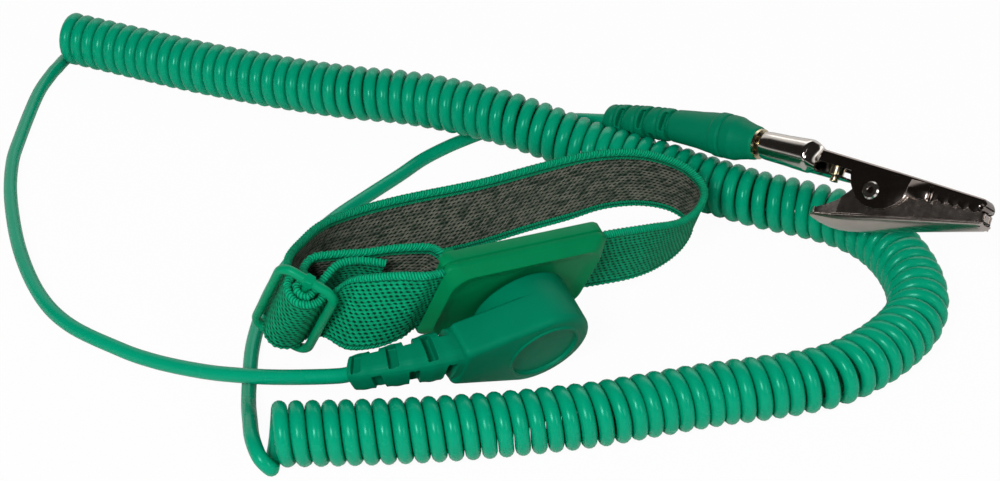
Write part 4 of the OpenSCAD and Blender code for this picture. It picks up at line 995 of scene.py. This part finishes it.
def makeUpperJaw():
    low = [(17.6, -0.9), (21, -1.1), (25.6, -1.35), (25.7, -2.2), (26.3, -3.9), (27.2, -5.2), (28.6, -6.7),
           (30, -7.45), (31.5, -7.85), (33.3, -7.95), (35.3, -7.5), (37.4, -6.1), (38.8, -4.4), (39.3, -3.3),
           (44.9, -3.6)]
    for i in range(upper["teeth"]):
        x = upper["teethFrom"] + i * upper["toothPitch"]
        low += [(x, upper["toothRoot"]), (x + 0.9, upper["toothTip"])]
    low += [(54.1, -3.6), (54.8, -3.1), (55.5, -3.0), (55.9, -2.6), (upper["nose"], -2.0)]
    start, nose = upper["channelFrom"], upper["nose"]
    steady = {start + 0.5 * i for i in range(80)}
    xs = sorted({round(p[0], 3) for p in low} | steady | {55.2, 55.8, 56.0, nose})
    bm = bmesh.new()
    loft(bm, [channelRing(x, low) for x in xs if start <= x <= nose])
    for s in (-1, 1):  # folded tabs beside the teeth
        tab = [(3.7, -0.25), (3.85, -0.2), (4.45, -1.75), (4.5, -2.1), (4.4, -3.75), (3.7, -3.75)]
        steps = ((upper["tabFrom"], -0.05), (upper["tabFrom"] + 0.25, 0.1), (upper["tabTo"] - 0.25, 0.1),
                 (upper["tabTo"], -0.05))
        loft(bm, [[Vector((x, s * (y + out), z)) for y, z in tab] for x, out in steps])
    w, r = noseRoll["half"], noseRoll["radius"]
    end = [(w - 0.1, r), (w + 0.12, r - 0.15), (w, r - 0.35)]
    turned(bm, [(-y, k) for y, k in end[::-1]] + end, "y", 20, (noseRoll["x"], 0, noseRoll["z"]))
    # the channel takes the darkened nickel, painted shade for its dark reflections
    piece = bmPiece("upperJaw", bm, clipFrame, [shadedNickelFinish, edgeHighlightFinish], 35)
    # the bevels take the second material, the painted edge highlight
    return bevelled(piece, upper["bevel"], 60, material=1)


def makeScrew():
    bm = bmesh.new()
    for r, low, high in (screw["head"], screw["shank"]):
        turned(bm, [(low, r - 0.15), (low + 0.12, r), (high - 0.3, r), (high, r - 0.35)], "z", 28,
               (screw["x"], screw["y"], 0))
    return bmPiece("barrelScrew", bm, clipFrame, [brassFinish], 35)


upperPieces = [makeUpperJaw(), makeBarrel()]
for piece in upperPieces:
    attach(piece, "clip")
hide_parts("upper_jaw")
screwPiece = makeScrew()
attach(screwPiece, "clip")
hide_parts("barrel_screw")
print("upper jaw made")

# finishes of the nodes from the solids
finishes = {
    "contact_plate": steelFinish, "snap_stud": rivetFinish, "stud_rivet": rivetFinish,
    "premould": premouldFinish, "snap_socket": rivetFinish, "socket_spring": steelFinish,
    "resistor_body": resistorFinish, "resistor_leads": copperFinish, "terminal_tab": rivetFinish,
    "splice_crimp": brassFinish, "core_wrist": copperFinish, "core_clip": copperFinish,
    "plug_pin": brassFinish, "plug_spring": brassFinish, "upper_jaw": nickelFinish,
    "lower_jaw": nickelFinish, "jaw_rivet": rivetFinish, "jaw_spring": steelFinish,
    "barrel_screw": rivetFinish}
for name, finish in finishes.items():
    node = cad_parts[name]
    takeMaterial(node, finish)
    shade(node, 35)
print("nodes dressed")
